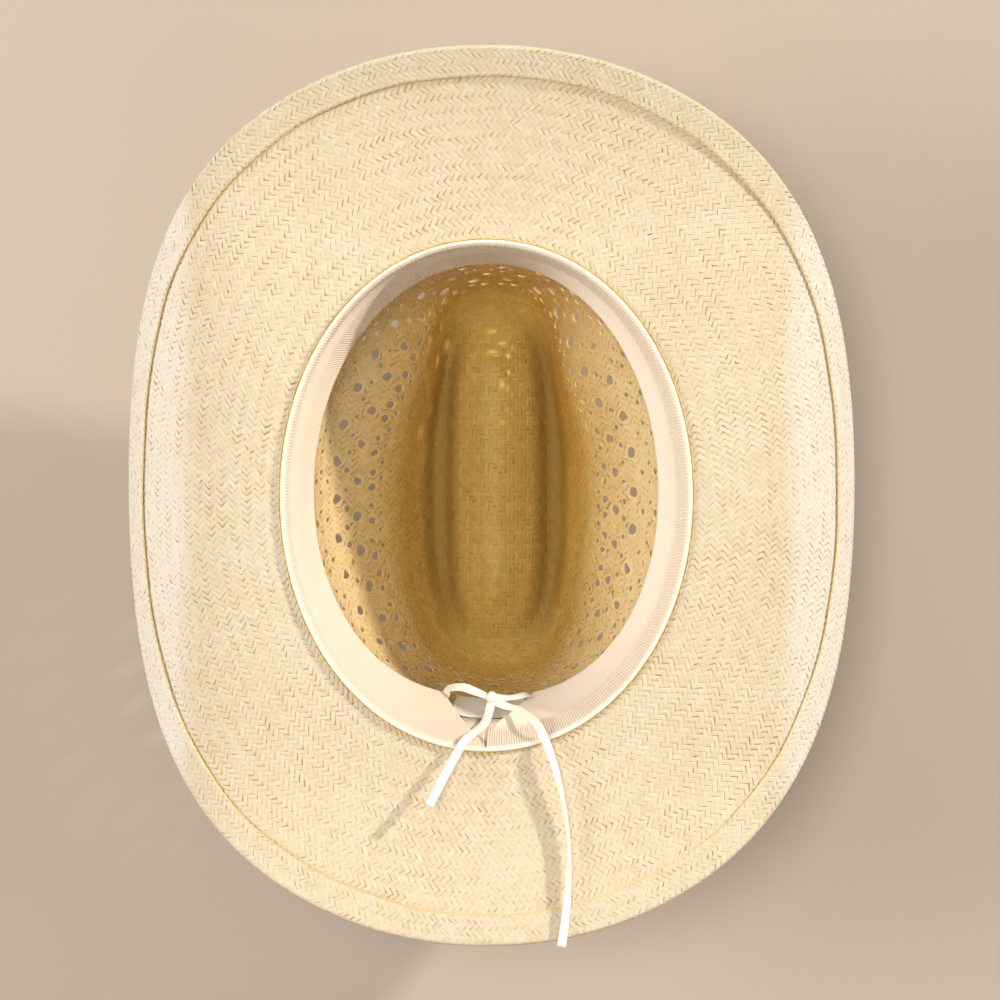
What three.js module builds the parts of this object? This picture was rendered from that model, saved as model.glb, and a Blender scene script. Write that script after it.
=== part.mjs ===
// A straw cattleman hat lying on its crown, with the head opening facing up.
// Millimetres. +Z points out of the head opening, +Y to the front of the hat and +X to the
// wearer's left. z = 0 is the surface that the two crown ridges stand on.
import * as THREE from "three";
import { mergeVertices } from "three/addons/utils/BufferGeometryUtils.js";

// ---- driving dimensions -------------------------------------------------------------------
const HEAD_HALF_WIDTH = 82.3; // head opening, size 7 1/4
const HEAD_HALF_LENGTH = 102.3;
const HEAD_EXPONENT = 2.05; // 2 is an ellipse, more is squarer
const BREAK_Z = 112; // height of the line where crown and brim meet
const STRAW = 1.2; // thickness of the woven straw
const GAP = 0.35; // clearance between pieces that touch

const BRIM_HALF_WIDTH = 164.3; // brim cut flat, before it is shaped
const BRIM_HALF_LENGTH = 182;
const BRIM_EXPONENT = 2.06;
const BRIM_EGG = 0.012; // the front half is this much wider and the back narrower
const CURL_RADIUS = 81; // the sides curl about lines that run front to back
const DIP_RADIUS = 191; // the front and back lift away from the crown
const HEM_WIDTH = 12;
const HEM_LIP_RADIUS = 1.35; // round edge where the straw folds over the wire
const WIRE_RADIUS = 0.45;

const BAND_DEPTH = 36.5; // sweatband, from the seam to its free edge
const BAND_THICKNESS = 0.8;
const BAND_LEAN = 7.5; // how far the drawn ribbon pulls the back of the band in
const NOTCH_HALF_WIDTH = 23; // half the V between the two ends, at the free edge
const CASING_HEIGHT = 5.5;
const RIBBON_WIDTH = 3.2;
const RIBBON_THICKNESS = 0.4;

const HATBAND_LOW_Z = 92; // edges of the outer band
const HATBAND_HIGH_Z = 106;
const HATBAND_CLEARANCE = 1.55; // room for the keeper behind the band
const HATBAND_THICKNESS = 1.6;

const AROUND = 64; // divisions round the hat, a multiple of four

// ---- materials ----------------------------------------------------------------------------
const finish = (color, roughness, metalness = 0) =>
  new THREE.MeshStandardMaterial({ color, roughness, metalness });
const STRAW_FINISH = finish(0xead7a6, 0.62);
const HEM_FINISH = finish(0xeddcb0, 0.6);
const BAND_FINISH = finish(0xf7e8cf, 0.8);
const CASING_FINISH = finish(0xf1e0c4, 0.85);
const RIBBON_FINISH = finish(0xfdf7e6, 0.35);
const THREAD_FINISH = finish(0xd9bd7c, 0.7);
const LABEL_FINISH = finish(0xd9d5cd, 0.6);
const LEATHER_FINISH = finish(0x6b3f22, 0.55);
const METAL_FINISH = finish(0xc9c5bb, 0.3, 1);
const WIRE_FINISH = finish(0x8d8f92, 0.35, 1);

// ---- building closed solids ---------------------------------------------------------------
const lerp = THREE.MathUtils.lerp;
const clamp = THREE.MathUtils.clamp;
const SNAP = 1000; // vertices are rounded to 1/1000 mm, so that seams close

function solidFrom(vertices, triangles) {
  const positions = vertices.flatMap((p) => [p.x, p.y, p.z].map((c) => Math.round(c * SNAP) / SNAP));
  let geometry = new THREE.BufferGeometry();
  geometry.setAttribute("position", new THREE.Float32BufferAttribute(positions, 3));
  geometry.setIndex(triangles);
  geometry = mergeVertices(geometry, 1 / (4 * SNAP));
  const index = Array.from(geometry.index.array);
  const kept = [];
  for (let k = 0; k < index.length; k += 3) {
    const [a, b, c] = index.slice(k, k + 3);
    if (a !== b && b !== c && c !== a) kept.push([a, b, c]);
  }
  const inward = signedVolume(geometry.attributes.position, kept) < 0;
  geometry.setIndex(kept.flatMap(([a, b, c]) => (inward ? [a, c, b] : [a, b, c])));
  geometry.computeVertexNormals();
  return geometry;
}

function signedVolume(position, triangles) {
  const [a, b, c] = [new THREE.Vector3(), new THREE.Vector3(), new THREE.Vector3()];
  let volume = 0;
  for (const triangle of triangles) {
    [a, b, c].forEach((corner, k) => corner.fromBufferAttribute(position, triangle[k]));
    volume += a.dot(b.cross(c)) / 6;
  }
  return volume;
}

// A sheet with two faces. pointAt(i, j, face) gives a corner of the grid on face 0 or 1.
// A ring closes on itself in i; a domed sheet closes at its last row and has no rim there.
function sheetSolid(pointAt, across, along, { ring = false, domed = false } = {}) {
  const columns = ring ? across : across + 1;
  const rows = along + 1;
  const vertices = [];
  const triangles = [];
  const at = (i, j, face) => (face * columns + (i % columns)) * rows + j;
  const quad = (a, b, c, d) => triangles.push(a, b, c, a, c, d);
  for (const face of [0, 1]) {
    for (let i = 0; i < columns; i += 1) {
      for (let j = 0; j < rows; j += 1) vertices.push(pointAt(i, j, face));
    }
  }
  for (let i = 0; i < across; i += 1) {
    for (let j = 0; j < along; j += 1) {
      quad(at(i, j, 0), at(i + 1, j, 0), at(i + 1, j + 1, 0), at(i, j + 1, 0));
      quad(at(i, j, 1), at(i, j + 1, 1), at(i + 1, j + 1, 1), at(i + 1, j, 1));
    }
    quad(at(i, 0, 1), at(i + 1, 0, 1), at(i + 1, 0, 0), at(i, 0, 0));
    if (!domed) quad(at(i, along, 0), at(i + 1, along, 0), at(i + 1, along, 1), at(i, along, 1));
  }
  if (!ring) {
    for (let j = 0; j < along; j += 1) {
      quad(at(0, j, 0), at(0, j + 1, 0), at(0, j + 1, 1), at(0, j, 1));
      quad(at(across, j, 1), at(across, j + 1, 1), at(across, j + 1, 0), at(across, j, 0));
    }
  }
  return solidFrom(vertices, triangles);
}

// A ring whose section is a closed outline. pointAt(i, k) gives corner k of section i.
function ringSolid(pointAt, around, corners) {
  const vertices = [];
  const triangles = [];
  const at = (i, k) => (i % around) * corners + (k % corners);
  for (let i = 0; i < around; i += 1) {
    for (let k = 0; k < corners; k += 1) {
      vertices.push(pointAt(i, k));
      triangles.push(at(i, k), at(i + 1, k), at(i + 1, k + 1));
      triangles.push(at(i, k), at(i + 1, k + 1), at(i, k + 1));
    }
  }
  return solidFrom(vertices, triangles);
}

const angleOf = (i) => (2 * Math.PI * i) / AROUND;

// ---- shape of the crown -------------------------------------------------------------------
// Meridians of the crown's inner face, from the break down to the ridge and up the crease.
// Each point is (distance from the axis, height). The side's shoulder is the long side dent.
// The last point lies past the crease's middle line, and only shapes the curve there.
const CROWN_TOP_Z = BREAK_Z - STRAW - GAP;
const LAST_ROW = 9;
const RIDGE_ROW = 7;
const BAND_ROW = 2; // at the sweatband's free edge
const meridian = (points) => new THREE.SplineCurve(points.map(([h, z]) => new THREE.Vector2(h, z)));
const SIDE = meridian([
  [HEAD_HALF_WIDTH, CROWN_TOP_Z], [79, 93], [74.5, 75], [69.5, 59.5], [57.5, 46], [43.5, 31.5],
  [34.5, 12.5], [25.5, -0.7], [15.5, 11], [0, 20.5], [-15.5, 11],
]);
const FRONT = meridian([
  [HEAD_HALF_LENGTH, CROWN_TOP_Z], [101, 93], [99, 75], [97, 59], [94.5, 42], [91.5, 26],
  [86, 12.5], [77, 8], [63, 13.5], [52, 20.5], [41, 21],
]);
const BACK = meridian([
  [HEAD_HALF_LENGTH, CROWN_TOP_Z], [99.5, 93], [95.5, 75], [91.5, 59], [87, 42], [82.5, 26],
  [76.5, 13], [68, 8], [56, 13], [44, 20.5], [33, 21],
]);
const alongMeridian = (curve, row) => curve.getPoint(clamp(row, 0, LAST_ROW) / (LAST_ROW + 1));
const RIDGE_EXPONENT = 3; // the ridges run parallel and close in an arch at each end
const DENT = { row: 5, rowSpread: 1.4, y: 54, ySpread: 30, depth: 8 }; // the front pinch

// Eccentric superellipse: the direction of an ellipse's point, scaled onto the squarer curve.
function superellipse(halfWidth, halfLength, exponent, angle) {
  const c = Math.cos(angle);
  const s = Math.sin(angle);
  const scale = (Math.abs(c) ** exponent + Math.abs(s) ** exponent) ** (-1 / exponent);
  return new THREE.Vector2(halfWidth * c * scale, halfLength * s * scale);
}

function crownPoint(angle, row) {
  const side = alongMeridian(SIDE, row);
  const end = alongMeridian(Math.sin(angle) >= 0 ? FRONT : BACK, row);
  const squareness = clamp((row - BAND_ROW) / (RIDGE_ROW - BAND_ROW), 0, 1);
  const exponent = lerp(HEAD_EXPONENT, RIDGE_EXPONENT, squareness);
  const plan = superellipse(side.x, end.x, exponent, angle);
  const endShare = Math.abs(plan.y / end.x) ** 3;
  const rowPart = ((row - DENT.row) / DENT.rowSpread) ** 2;
  const lengthPart = ((plan.y - DENT.y) / DENT.ySpread) ** 2;
  const dent = DENT.depth * Math.exp(-rowPart - lengthPart) * Math.abs(Math.cos(angle)) ** 0.5;
  const x = plan.x - Math.sign(Math.round(plan.x * SNAP)) * dent;
  return new THREE.Vector3(x, plan.y, lerp(side.y, end.y, endShare));
}

// Normal of the crown's inner face, pointing into the head space.
function crownNormal(angle, row) {
  if (row > LAST_ROW - 0.1) return new THREE.Vector3(0, 0, 1);
  const step = 1e-3;
  const low = Math.max(row - step, 0);
  const around = crownPoint(angle + step, row).sub(crownPoint(angle - step, row));
  const down = crownPoint(angle, row + step).sub(crownPoint(angle, low));
  return around.cross(down).normalize();
}

const onCrown = (angle, row, inwards) =>
  crownPoint(angle, row).addScaledVector(crownNormal(angle, row), inwards);

// ---- shape of the brim --------------------------------------------------------------------
// The brim is cut flat, then curled: its sides roll down and its front and back lift.
function brimOutline(angle) {
  const flat = superellipse(BRIM_HALF_WIDTH, BRIM_HALF_LENGTH, BRIM_EXPONENT, angle);
  flat.x *= 1 + (BRIM_EGG * flat.y) / BRIM_HALF_LENGTH;
  return flat;
}

const headOutline = (angle) =>
  superellipse(HEAD_HALF_WIDTH, HEAD_HALF_LENGTH, HEAD_EXPONENT, angle);

// A point of the cut brim, shaped, and then raised along the surface's normal.
function shaped(flat, raise) {
  const curl = Math.max(Math.abs(flat.x) - HEAD_HALF_WIDTH, 0) / CURL_RADIUS;
  const dip = Math.max(Math.abs(flat.y) - HEAD_HALF_LENGTH, 0) / DIP_RADIUS;
  const x = curl > 0 ? HEAD_HALF_WIDTH + CURL_RADIUS * Math.sin(curl) : Math.abs(flat.x);
  const y = dip > 0 ? HEAD_HALF_LENGTH + DIP_RADIUS * Math.sin(dip) : Math.abs(flat.y);
  const fall = CURL_RADIUS * (1 - Math.cos(curl));
  const lift = DIP_RADIUS * (1 - Math.cos(dip));
  const signX = Math.sign(flat.x);
  const signY = Math.sign(flat.y);
  const alongX = new THREE.Vector3(Math.cos(curl), 0, -signX * Math.sin(curl));
  const alongY = new THREE.Vector3(0, Math.cos(dip), signY * Math.sin(dip));
  const normal = alongX.cross(alongY).normalize();
  return new THREE.Vector3(signX * x, signY * y, BREAK_Z - fall + lift).addScaledVector(normal, raise);
}

// A point a given distance in from the brim's edge.
function fromEdge(angle, inwards, raise) {
  const step = 1e-3;
  const along = brimOutline(angle + step).sub(brimOutline(angle - step)).normalize();
  const flat = brimOutline(angle);
  flat.x -= along.y * inwards;
  flat.y += along.x * inwards;
  return shaped(flat, raise);
}

// ---- straw body ---------------------------------------------------------------------------
// The ridges are pressed flat where the crown stands, so three rows lie close together there.
function crown() {
  const flat = 0.25;
  const evenly = (from, to, count) =>
    Array.from({ length: count + 1 }, (_, k) => lerp(from, to, k / count));
  const beside = [RIDGE_ROW - 0.7, RIDGE_ROW + 0.7];
  const ridge = [RIDGE_ROW - flat, RIDGE_ROW, RIDGE_ROW + flat];
  const rows = [...evenly(0, beside[0], 13), ...ridge, ...evenly(beside[1], LAST_ROW, 3)];
  const pointAt = (i, j, face) => {
    const point = onCrown(angleOf(i), rows[j], face === 1 ? 0 : -STRAW);
    point.z = Math.max(point.z, face === 1 ? STRAW : 0);
    return point;
  };
  return sheetSolid(pointAt, AROUND, rows.length - 1, { ring: true, domed: true });
}

// Rows of the brim, from its edge inside the hem to the head opening, as shares of the way.
function brim() {
  const edge = 3;
  const rows = [0, 0.045, 0.11, 0.25, 0.42, 0.6, 0.8, 1];
  const pointAt = (i, j, face) => {
    const angle = angleOf(i);
    const outline = brimOutline(angle);
    const head = headOutline(angle);
    const inset = edge / outline.distanceTo(head);
    const flat = outline.lerp(head, lerp(inset, 1, rows[j]));
    return shaped(flat, face === 1 ? 0 : -STRAW);
  };
  return sheetSolid(pointAt, AROUND, rows.length - 1, { ring: true });
}

// The straw's edge, folded over the wire and back on the side that faces up here.
function hem() {
  const top = STRAW + GAP;
  const bottom = -STRAW;
  const middle = (top + bottom) / 2;
  const inner = 0.78; // radius left for the wire
  const lip = 2.6;
  const section = [[HEM_WIDTH, GAP], [HEM_WIDTH, top], [HEM_WIDTH / 2, top]];
  const halfTurn = (radius, from, to) => {
    for (let k = 0; k <= 3; k += 1) {
      const turn = lerp(from, to, k / 3);
      section.push([HEM_LIP_RADIUS + radius * Math.cos(turn), middle + radius * Math.sin(turn)]);
    }
  };
  halfTurn(HEM_LIP_RADIUS, Math.PI / 2, (3 * Math.PI) / 2);
  section.push([lip, bottom], [lip, middle - inner]);
  halfTurn(inner, (3 * Math.PI) / 2, Math.PI / 2);
  section.push([lip, middle + inner], [lip + GAP, GAP], [HEM_WIDTH / 2, GAP]);
  return ringSolid((i, k) => fromEdge(angleOf(i), ...section[k]), AROUND, section.length);
}

function edgeRing(inwards, raise, radius, sides) {
  const pointAt = (i, k) => {
    const turn = (-2 * Math.PI * k) / sides;
    const [across, up] = [radius * Math.cos(turn), radius * Math.sin(turn)];
    return fromEdge(angleOf(i), inwards + across, raise + up);
  };
  return ringSolid(pointAt, AROUND, sides);
}

const brimWire = () => edgeRing(HEM_LIP_RADIUS, GAP / 2, WIRE_RADIUS, 6);
const hemStitching = () => edgeRing(HEM_WIDTH - 1.5, STRAW + 2 * GAP + 0.3, 0.3, 4);

// ---- sweatband ----------------------------------------------------------------------------
// How far an angle lies from the back of the hat.
const fromBack = (angle) => Math.abs(Math.atan2(Math.sin(angle + Math.PI / 2), Math.cos(angle + Math.PI / 2)));

// Point beside the crown's wall. depth 0 is the seam and 1 the free edge; inwards is the
// distance from the wall's face to the point.
function besideWall(angle, depth, inwards) {
  const row = depth * BAND_ROW;
  const point = onCrown(angle, row, inwards);
  const lean = BAND_LEAN * clamp(depth, 0, 1) ** 1.5 * Math.exp(-((fromBack(angle) / 0.62) ** 2));
  const towardsAxis = new THREE.Vector3(-point.x / HEAD_HALF_WIDTH ** 2, -point.y / HEAD_HALF_LENGTH ** 2, 0);
  point.addScaledVector(towardsAxis.normalize(), lean);
  point.z += (1 - depth) * 1.1;
  return point;
}

// Clearance behind the band: snug at the seam, with room for ribbon and casing at its edge.
const bandClearance = (depth) => lerp(0.5, 2.7, clamp(depth, 0, 1));

// A strip round the head from one side of the back V to the other.
function bandStrip(fromDepth, toDepth, offset, thickness, rows) {
  const pointAt = (i, j, face) => {
    const depth = lerp(fromDepth, toDepth, j / rows);
    const notch = Math.asin((1.2 + NOTCH_HALF_WIDTH * clamp(depth, 0, 1)) / (HEAD_HALF_WIDTH - 4));
    const angle = lerp(-Math.PI / 2 + notch, 1.5 * Math.PI - notch, i / AROUND);
    return besideWall(angle, depth, bandClearance(depth) + offset + face * thickness);
  };
  return sheetSolid(pointAt, AROUND, rows);
}

const CASING_START = 1 - CASING_HEIGHT / BAND_DEPTH;
const sweatband = () => bandStrip(0, 1, 0, BAND_THICKNESS, 4);
const drawRibbon = () => bandStrip(CASING_START + 0.04, 0.985, -0.8, RIBBON_THICKNESS, 1);
const casing = () => bandStrip(CASING_START, 1, -1.6, 0.4, 1);

function headRing(inwards, z, radius, sides) {
  const pointAt = (i, k) => {
    const angle = angleOf(i);
    const turn = (-2 * Math.PI * k) / sides;
    const share = inwards - radius * Math.cos(turn);
    const flat = superellipse(HEAD_HALF_WIDTH - share, HEAD_HALF_LENGTH - share, HEAD_EXPONENT, angle);
    return new THREE.Vector3(flat.x, flat.y, z + radius * Math.sin(turn));
  };
  return ringSolid(pointAt, AROUND, sides);
}

const REED_RADIUS = 0.8;
const reed = () => headRing(-0.3, BREAK_Z + GAP + REED_RADIUS, REED_RADIUS, 8);

// One row of thread just below the seam, on the face that touches the head.
function bandStitching() {
  const depth = 0.06;
  const radius = 0.25;
  const face = bandClearance(depth) + BAND_THICKNESS + GAP + radius;
  const pointAt = (i, k) => {
    const turn = (Math.PI * k) / 2;
    const point = besideWall(angleOf(i), depth, face + radius * Math.cos(turn));
    point.z += radius * Math.sin(turn);
    return point;
  };
  return ringSolid(pointAt, AROUND, 4);
}

const LABEL_ROWS = [2.05, 3.5];

function sizeLabel() {
  const halfSpread = 0.22;
  const pointAt = (i, j, face) => {
    const angle = -Math.PI / 2 + lerp(-halfSpread, halfSpread, i / 8);
    return onCrown(angle, lerp(...LABEL_ROWS, j / 4), 1 + 0.4 * face);
  };
  return sheetSolid(pointAt, 8, 4);
}

// ---- tie ribbon ---------------------------------------------------------------------------
const KNOT = new THREE.Vector3(1, -84.5, 84);
const KNOT_RADIUS = 3;

// Routes chosen by hand, from the knot or the end of the band outwards.
const LEAD_LEFT = [[-25, -78.8, 77], [-19, -79, 79], [-12, -80, 82], [-6, -81.8, 84], [-2.4, -83.6, 84.2]];
const LEAD_RIGHT = [[24, -79.4, 77.5], [17.6, -81.6, 80.5], [11, -84, 83], [7, -84.5, 84], [4.4, -84.6, 84]];
const TAIL_LEFT = [
  [0.6, -88, 85], [0.2, -90.4, 89], [-0.8, -92.8, 95], [-2.6, -94.8, 102], [-5.4, -96.4, 108.5],
  [-8, -98.4, 113.8], [-10.6, -102, 117], [-13.6, -107.4, 118.8], [-16.8, -113.4, 120.8],
  [-19.6, -118.8, 123.4], [-22, -123.4, 126.8],
];
const TAIL_RIGHT = [
  [4.4, -87.4, 85.4], [8.2, -87.8, 87.4], [12, -88.2, 91], [15.4, -89.4, 97], [18.4, -90.8, 104],
  [21, -93, 110.4], [23.4, -96.6, 115.2], [26, -102.4, 117.4], [28.6, -110, 118], [31, -119, 118.4],
  [33, -130, 119], [34.2, -143, 120.8], [33.6, -158, 124.6], [32.4, -170, 129], [31, -178.6, 132.8],
];

function cord(points, width) {
  const path = new THREE.CatmullRomCurve3(points.map((p) => new THREE.Vector3(...p)));
  const section = new THREE.Shape();
  section.absarc(0, 0, width / 2, 0, 2 * Math.PI);
  const steps = Math.min(80, Math.round(path.getLength() / (2 * width)));
  return new THREE.ExtrudeGeometry(section, { extrudePath: path, steps, curveSegments: 4, bevelEnabled: false });
}

function knot() {
  return new THREE.SphereGeometry(KNOT_RADIUS, 12, 8).scale(1, 0.9, 0.9);
}

// ---- outer hatband and its buckle ---------------------------------------------------------
// Row of the side meridian that has a given height, found by halving.
function rowAt(z) {
  let [low, high] = [0, RIDGE_ROW];
  for (let k = 0; k < 30; k += 1) {
    const middle = (low + high) / 2;
    if (alongMeridian(SIDE, middle).y > z) low = middle;
    else high = middle;
  }
  return (low + high) / 2;
}

function hatband() {
  const [high, low] = [rowAt(HATBAND_HIGH_Z), rowAt(HATBAND_LOW_Z)];
  const pointAt = (i, j, face) => {
    const outwards = STRAW + HATBAND_CLEARANCE + HATBAND_THICKNESS * (1 - face);
    return onCrown(angleOf(i), lerp(high, low, j / 2), -outwards);
  };
  return sheetSolid(pointAt, AROUND, 2, { ring: true });
}

// The buckle set stands in frames of its own: x along the band to the back, y up the crown
// towards the brim, z outwards, with z = 0 on the band's outer face.
const BUCKLE_ANGLE = -0.2;
const KEEPER_ANGLE = -0.38;
const TIP_ANGLE = -0.56;
const BAND_HEIGHT = HATBAND_HIGH_Z - HATBAND_LOW_Z;
const TONGUE = { from: -0.1, to: -0.6, height: BAND_HEIGHT - 3, thickness: 1.2, lift: GAP };
const PRONG = { width: 1.8, eye: 1.3, wall: 0.7 };
const FRAME = { length: 17, height: BAND_HEIGHT + 5, bar: 1.6 };
const BAR_X = -(FRAME.length - FRAME.bar) / 2;
const BAR_LIFT = TONGUE.lift + TONGUE.thickness + GAP + PRONG.eye + PRONG.wall;
const KEEPER = { width: 4.5, wall: 0.7, room: 0.45 };

function plate(outline, depth, hole) {
  const shape = new THREE.Shape(outline);
  if (hole) shape.holes.push(new THREE.Path(hole));
  return new THREE.ExtrudeGeometry(shape, { depth, bevelEnabled: false, steps: 1 });
}

function roundedBox(halfWidth, halfHeight, radius, steps = 3) {
  const outline = [];
  for (const [sx, sy, from] of [[1, 1, 0], [-1, 1, 0.5], [-1, -1, 1], [1, -1, 1.5]]) {
    for (let k = 0; k <= steps; k += 1) {
      const turn = Math.PI * (from + (0.5 * k) / steps);
      const x = sx * (halfWidth - radius) + radius * Math.cos(turn);
      outline.push(new THREE.Vector2(x, sy * (halfHeight - radius) + radius * Math.sin(turn)));
    }
  }
  return outline;
}

function buckleFrame() {
  const outer = roundedBox(FRAME.length / 2, FRAME.height / 2, 3.2);
  const inner = roundedBox(FRAME.length / 2 - FRAME.bar, FRAME.height / 2 - FRAME.bar, 1.6);
  return plate(outer, FRAME.bar, inner).translate(0, 0, BAR_LIFT - FRAME.bar / 2);
}

// The prong's eye turns on the frame's bar, and its arm rests on the far side of the frame.
function prong() {
  const outer = PRONG.eye + PRONG.wall;
  const reach = FRAME.length - FRAME.bar / 2 - 0.6;
  const armLow = FRAME.bar / 2 + 0.3;
  const armHigh = armLow + 1.2;
  const shape = new THREE.Shape();
  const start = Math.asin(armLow / outer);
  const turns = 14;
  shape.moveTo(outer * Math.cos(start), armLow);
  shape.lineTo(reach - 0.8, armLow);
  shape.lineTo(reach, armLow + 0.6);
  shape.lineTo(reach - 0.8, armHigh);
  const end = Math.asin(Math.min(armHigh / outer, 0.999));
  for (let k = 0; k <= turns; k += 1) {
    const turn = lerp(end, start + 2 * Math.PI, k / turns);
    if (k < turns) shape.lineTo(outer * Math.cos(turn), outer * Math.sin(turn));
  }
  const hole = new THREE.Path();
  hole.absarc(0, 0, PRONG.eye, 0, 2 * Math.PI, true);
  shape.holes.push(hole);
  const options = { depth: PRONG.width, bevelEnabled: false, curveSegments: 8 };
  return new THREE.ExtrudeGeometry(shape, options).translate(0, 0, -PRONG.width / 2).rotateX(Math.PI / 2);
}

// The strap's free end, lying on the band from under the buckle to past the keeper.
function tongue() {
  const rows = [HATBAND_HIGH_Z - 1.5, HATBAND_LOW_Z + 1.5].map(rowAt);
  const below = STRAW + HATBAND_CLEARANCE + HATBAND_THICKNESS + TONGUE.lift;
  const pointAt = (i, j, face) => {
    const angle = lerp(TONGUE.from, TONGUE.to, i / 10);
    return onCrown(angle, lerp(...rows, j / 2), -(below + face * TONGUE.thickness));
  };
  return sheetSolid(pointAt, 10, 2);
}

function keeper() {
  const half = BAND_HEIGHT / 2 + KEEPER.room;
  const under = -HATBAND_THICKNESS - KEEPER.room;
  const over = TONGUE.lift + TONGUE.thickness + KEEPER.room;
  const rise = (over - under) / 2;
  const outer = roundedBox(half + KEEPER.wall, rise + KEEPER.wall, 0.8, 2);
  const inner = roundedBox(half, rise, 0.3, 1);
  const loop = plate(outer, KEEPER.width, inner).translate(0, 0, -KEEPER.width / 2);
  return loop.rotateX(Math.PI / 2).rotateZ(Math.PI / 2).translate(0, 0, (over + under) / 2);
}

function tip() {
  const outline = roundedBox(3.2, TONGUE.height / 2 - 0.8, 1.2);
  return plate(outline, 0.9).translate(0, 0, TONGUE.lift + TONGUE.thickness + GAP);
}

// ---- assembly -----------------------------------------------------------------------------
const hat = new THREE.Group();

function add(name, geometry, material, parent = hat) {
  const mesh = new THREE.Mesh(geometry, material);
  mesh.name = name;
  parent.add(mesh);
  return mesh;
}

add("crown", crown(), STRAW_FINISH);
add("brim", brim(), STRAW_FINISH);
add("brim_hem", hem(), HEM_FINISH);
add("brim_wire", brimWire(), WIRE_FINISH);
add("hem_stitching", hemStitching(), THREAD_FINISH);
add("sweatband", sweatband(), BAND_FINISH);
add("sweatband_casing", casing(), CASING_FINISH);
add("sweatband_reed", reed(), BAND_FINISH);
add("sweatband_stitching", bandStitching(), THREAD_FINISH);
add("draw_ribbon", drawRibbon(), RIBBON_FINISH);
add("size_label", sizeLabel(), LABEL_FINISH);

add("tie_knot", knot(), RIBBON_FINISH).position.copy(KNOT);
add("tie_lead_left", cord(LEAD_LEFT, RIBBON_WIDTH * 0.6), RIBBON_FINISH);
add("tie_lead_right", cord(LEAD_RIGHT, RIBBON_WIDTH * 0.6), RIBBON_FINISH);
add("tie_tail_left", cord(TAIL_LEFT, RIBBON_WIDTH), RIBBON_FINISH);
add("tie_tail_right", cord(TAIL_RIGHT, RIBBON_WIDTH), RIBBON_FINISH);

add("hatband", hatband(), LEATHER_FINISH);

// A group that stands on the band's outer face at an angle round the hat.
function standOnBand(angle) {
  const group = new THREE.Group();
  const row = (rowAt(HATBAND_HIGH_Z) + rowAt(HATBAND_LOW_Z)) / 2;
  const outward = crownNormal(angle, row).negate();
  const alongBand = new THREE.Vector3(0, 0, -1).cross(outward).normalize();
  const upCrown = outward.clone().cross(alongBand);
  group.position.copy(onCrown(angle, row, -(STRAW + HATBAND_CLEARANCE + HATBAND_THICKNESS)));
  group.setRotationFromMatrix(new THREE.Matrix4().makeBasis(alongBand, upCrown, outward));
  hat.add(group);
  return group;
}

const buckle = standOnBand(BUCKLE_ANGLE);
add("hatband_tongue", tongue(), LEATHER_FINISH);
add("buckle_frame", buckleFrame(), METAL_FINISH, buckle);
add("buckle_prong", prong(), METAL_FINISH, buckle).position.set(BAR_X, 0, BAR_LIFT);
add("hatband_keeper", keeper(), METAL_FINISH, standOnBand(KEEPER_ANGLE));
add("hatband_tip", tip(), METAL_FINISH, standOnBand(TIP_ANGLE));

export default hat;
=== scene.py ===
"""A straw cattleman hat lying on its crown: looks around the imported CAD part.

Lengths inside the script are millimetres in the part's own frame: +Z out of the head opening,
+Y to the front of the hat, z = 0 under the crown's ridges. MM turns them into Blender's metres.
"""

import math

import bpy
import numpy as np
from mathutils import Matrix, Vector
from mathutils.bvhtree import BVHTree


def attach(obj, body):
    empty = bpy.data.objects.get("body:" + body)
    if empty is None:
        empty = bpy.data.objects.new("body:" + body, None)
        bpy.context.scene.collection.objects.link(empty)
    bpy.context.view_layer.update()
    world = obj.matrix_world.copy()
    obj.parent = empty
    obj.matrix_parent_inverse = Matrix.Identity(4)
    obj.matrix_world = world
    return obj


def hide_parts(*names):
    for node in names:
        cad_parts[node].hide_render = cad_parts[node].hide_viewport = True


MM = 0.001
BODY = "hat"
TAU = 2 * math.pi
rng = np.random.default_rng(11)

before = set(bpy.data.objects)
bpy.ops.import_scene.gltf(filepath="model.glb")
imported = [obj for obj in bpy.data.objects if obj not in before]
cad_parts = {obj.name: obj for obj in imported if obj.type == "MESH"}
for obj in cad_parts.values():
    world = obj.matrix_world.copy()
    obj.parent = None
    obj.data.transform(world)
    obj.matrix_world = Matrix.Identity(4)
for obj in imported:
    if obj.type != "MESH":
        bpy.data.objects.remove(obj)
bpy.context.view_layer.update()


def link(name, data):
    """A new object in the scene."""
    obj = bpy.data.objects.new(name, data)
    bpy.context.scene.collection.objects.link(obj)
    return obj


# ---- camera ----
CAMERA_AT = (48.1, 38.5, 1212.0)
CAMERA_AIM = (5.7, -1.4, 112.0)
VIEW_WIDTH = 404.0  # millimetres across the picture at the height of the brim
SENSOR = 36.0


def camera():
    """Looks down into the hat, with the front of the hat at the top of the picture."""
    at, aim = Vector(CAMERA_AT), Vector(CAMERA_AIM)
    data = bpy.data.cameras.new("camera")
    data.sensor_width = SENSOR
    data.lens = SENSOR * (at - aim).length / VIEW_WIDTH
    data.clip_start, data.clip_end = 0.05, 20
    cam = link("camera", data)
    cam.location = at * MM
    back = (at - aim).normalized()
    right = Vector((0, 1, 0)).cross(back).normalized()
    up = back.cross(right)
    cam.rotation_euler = Matrix((right, up, back)).transposed().to_euler()
    bpy.context.scene.camera = cam


camera()

# ---- meshes ----


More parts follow.
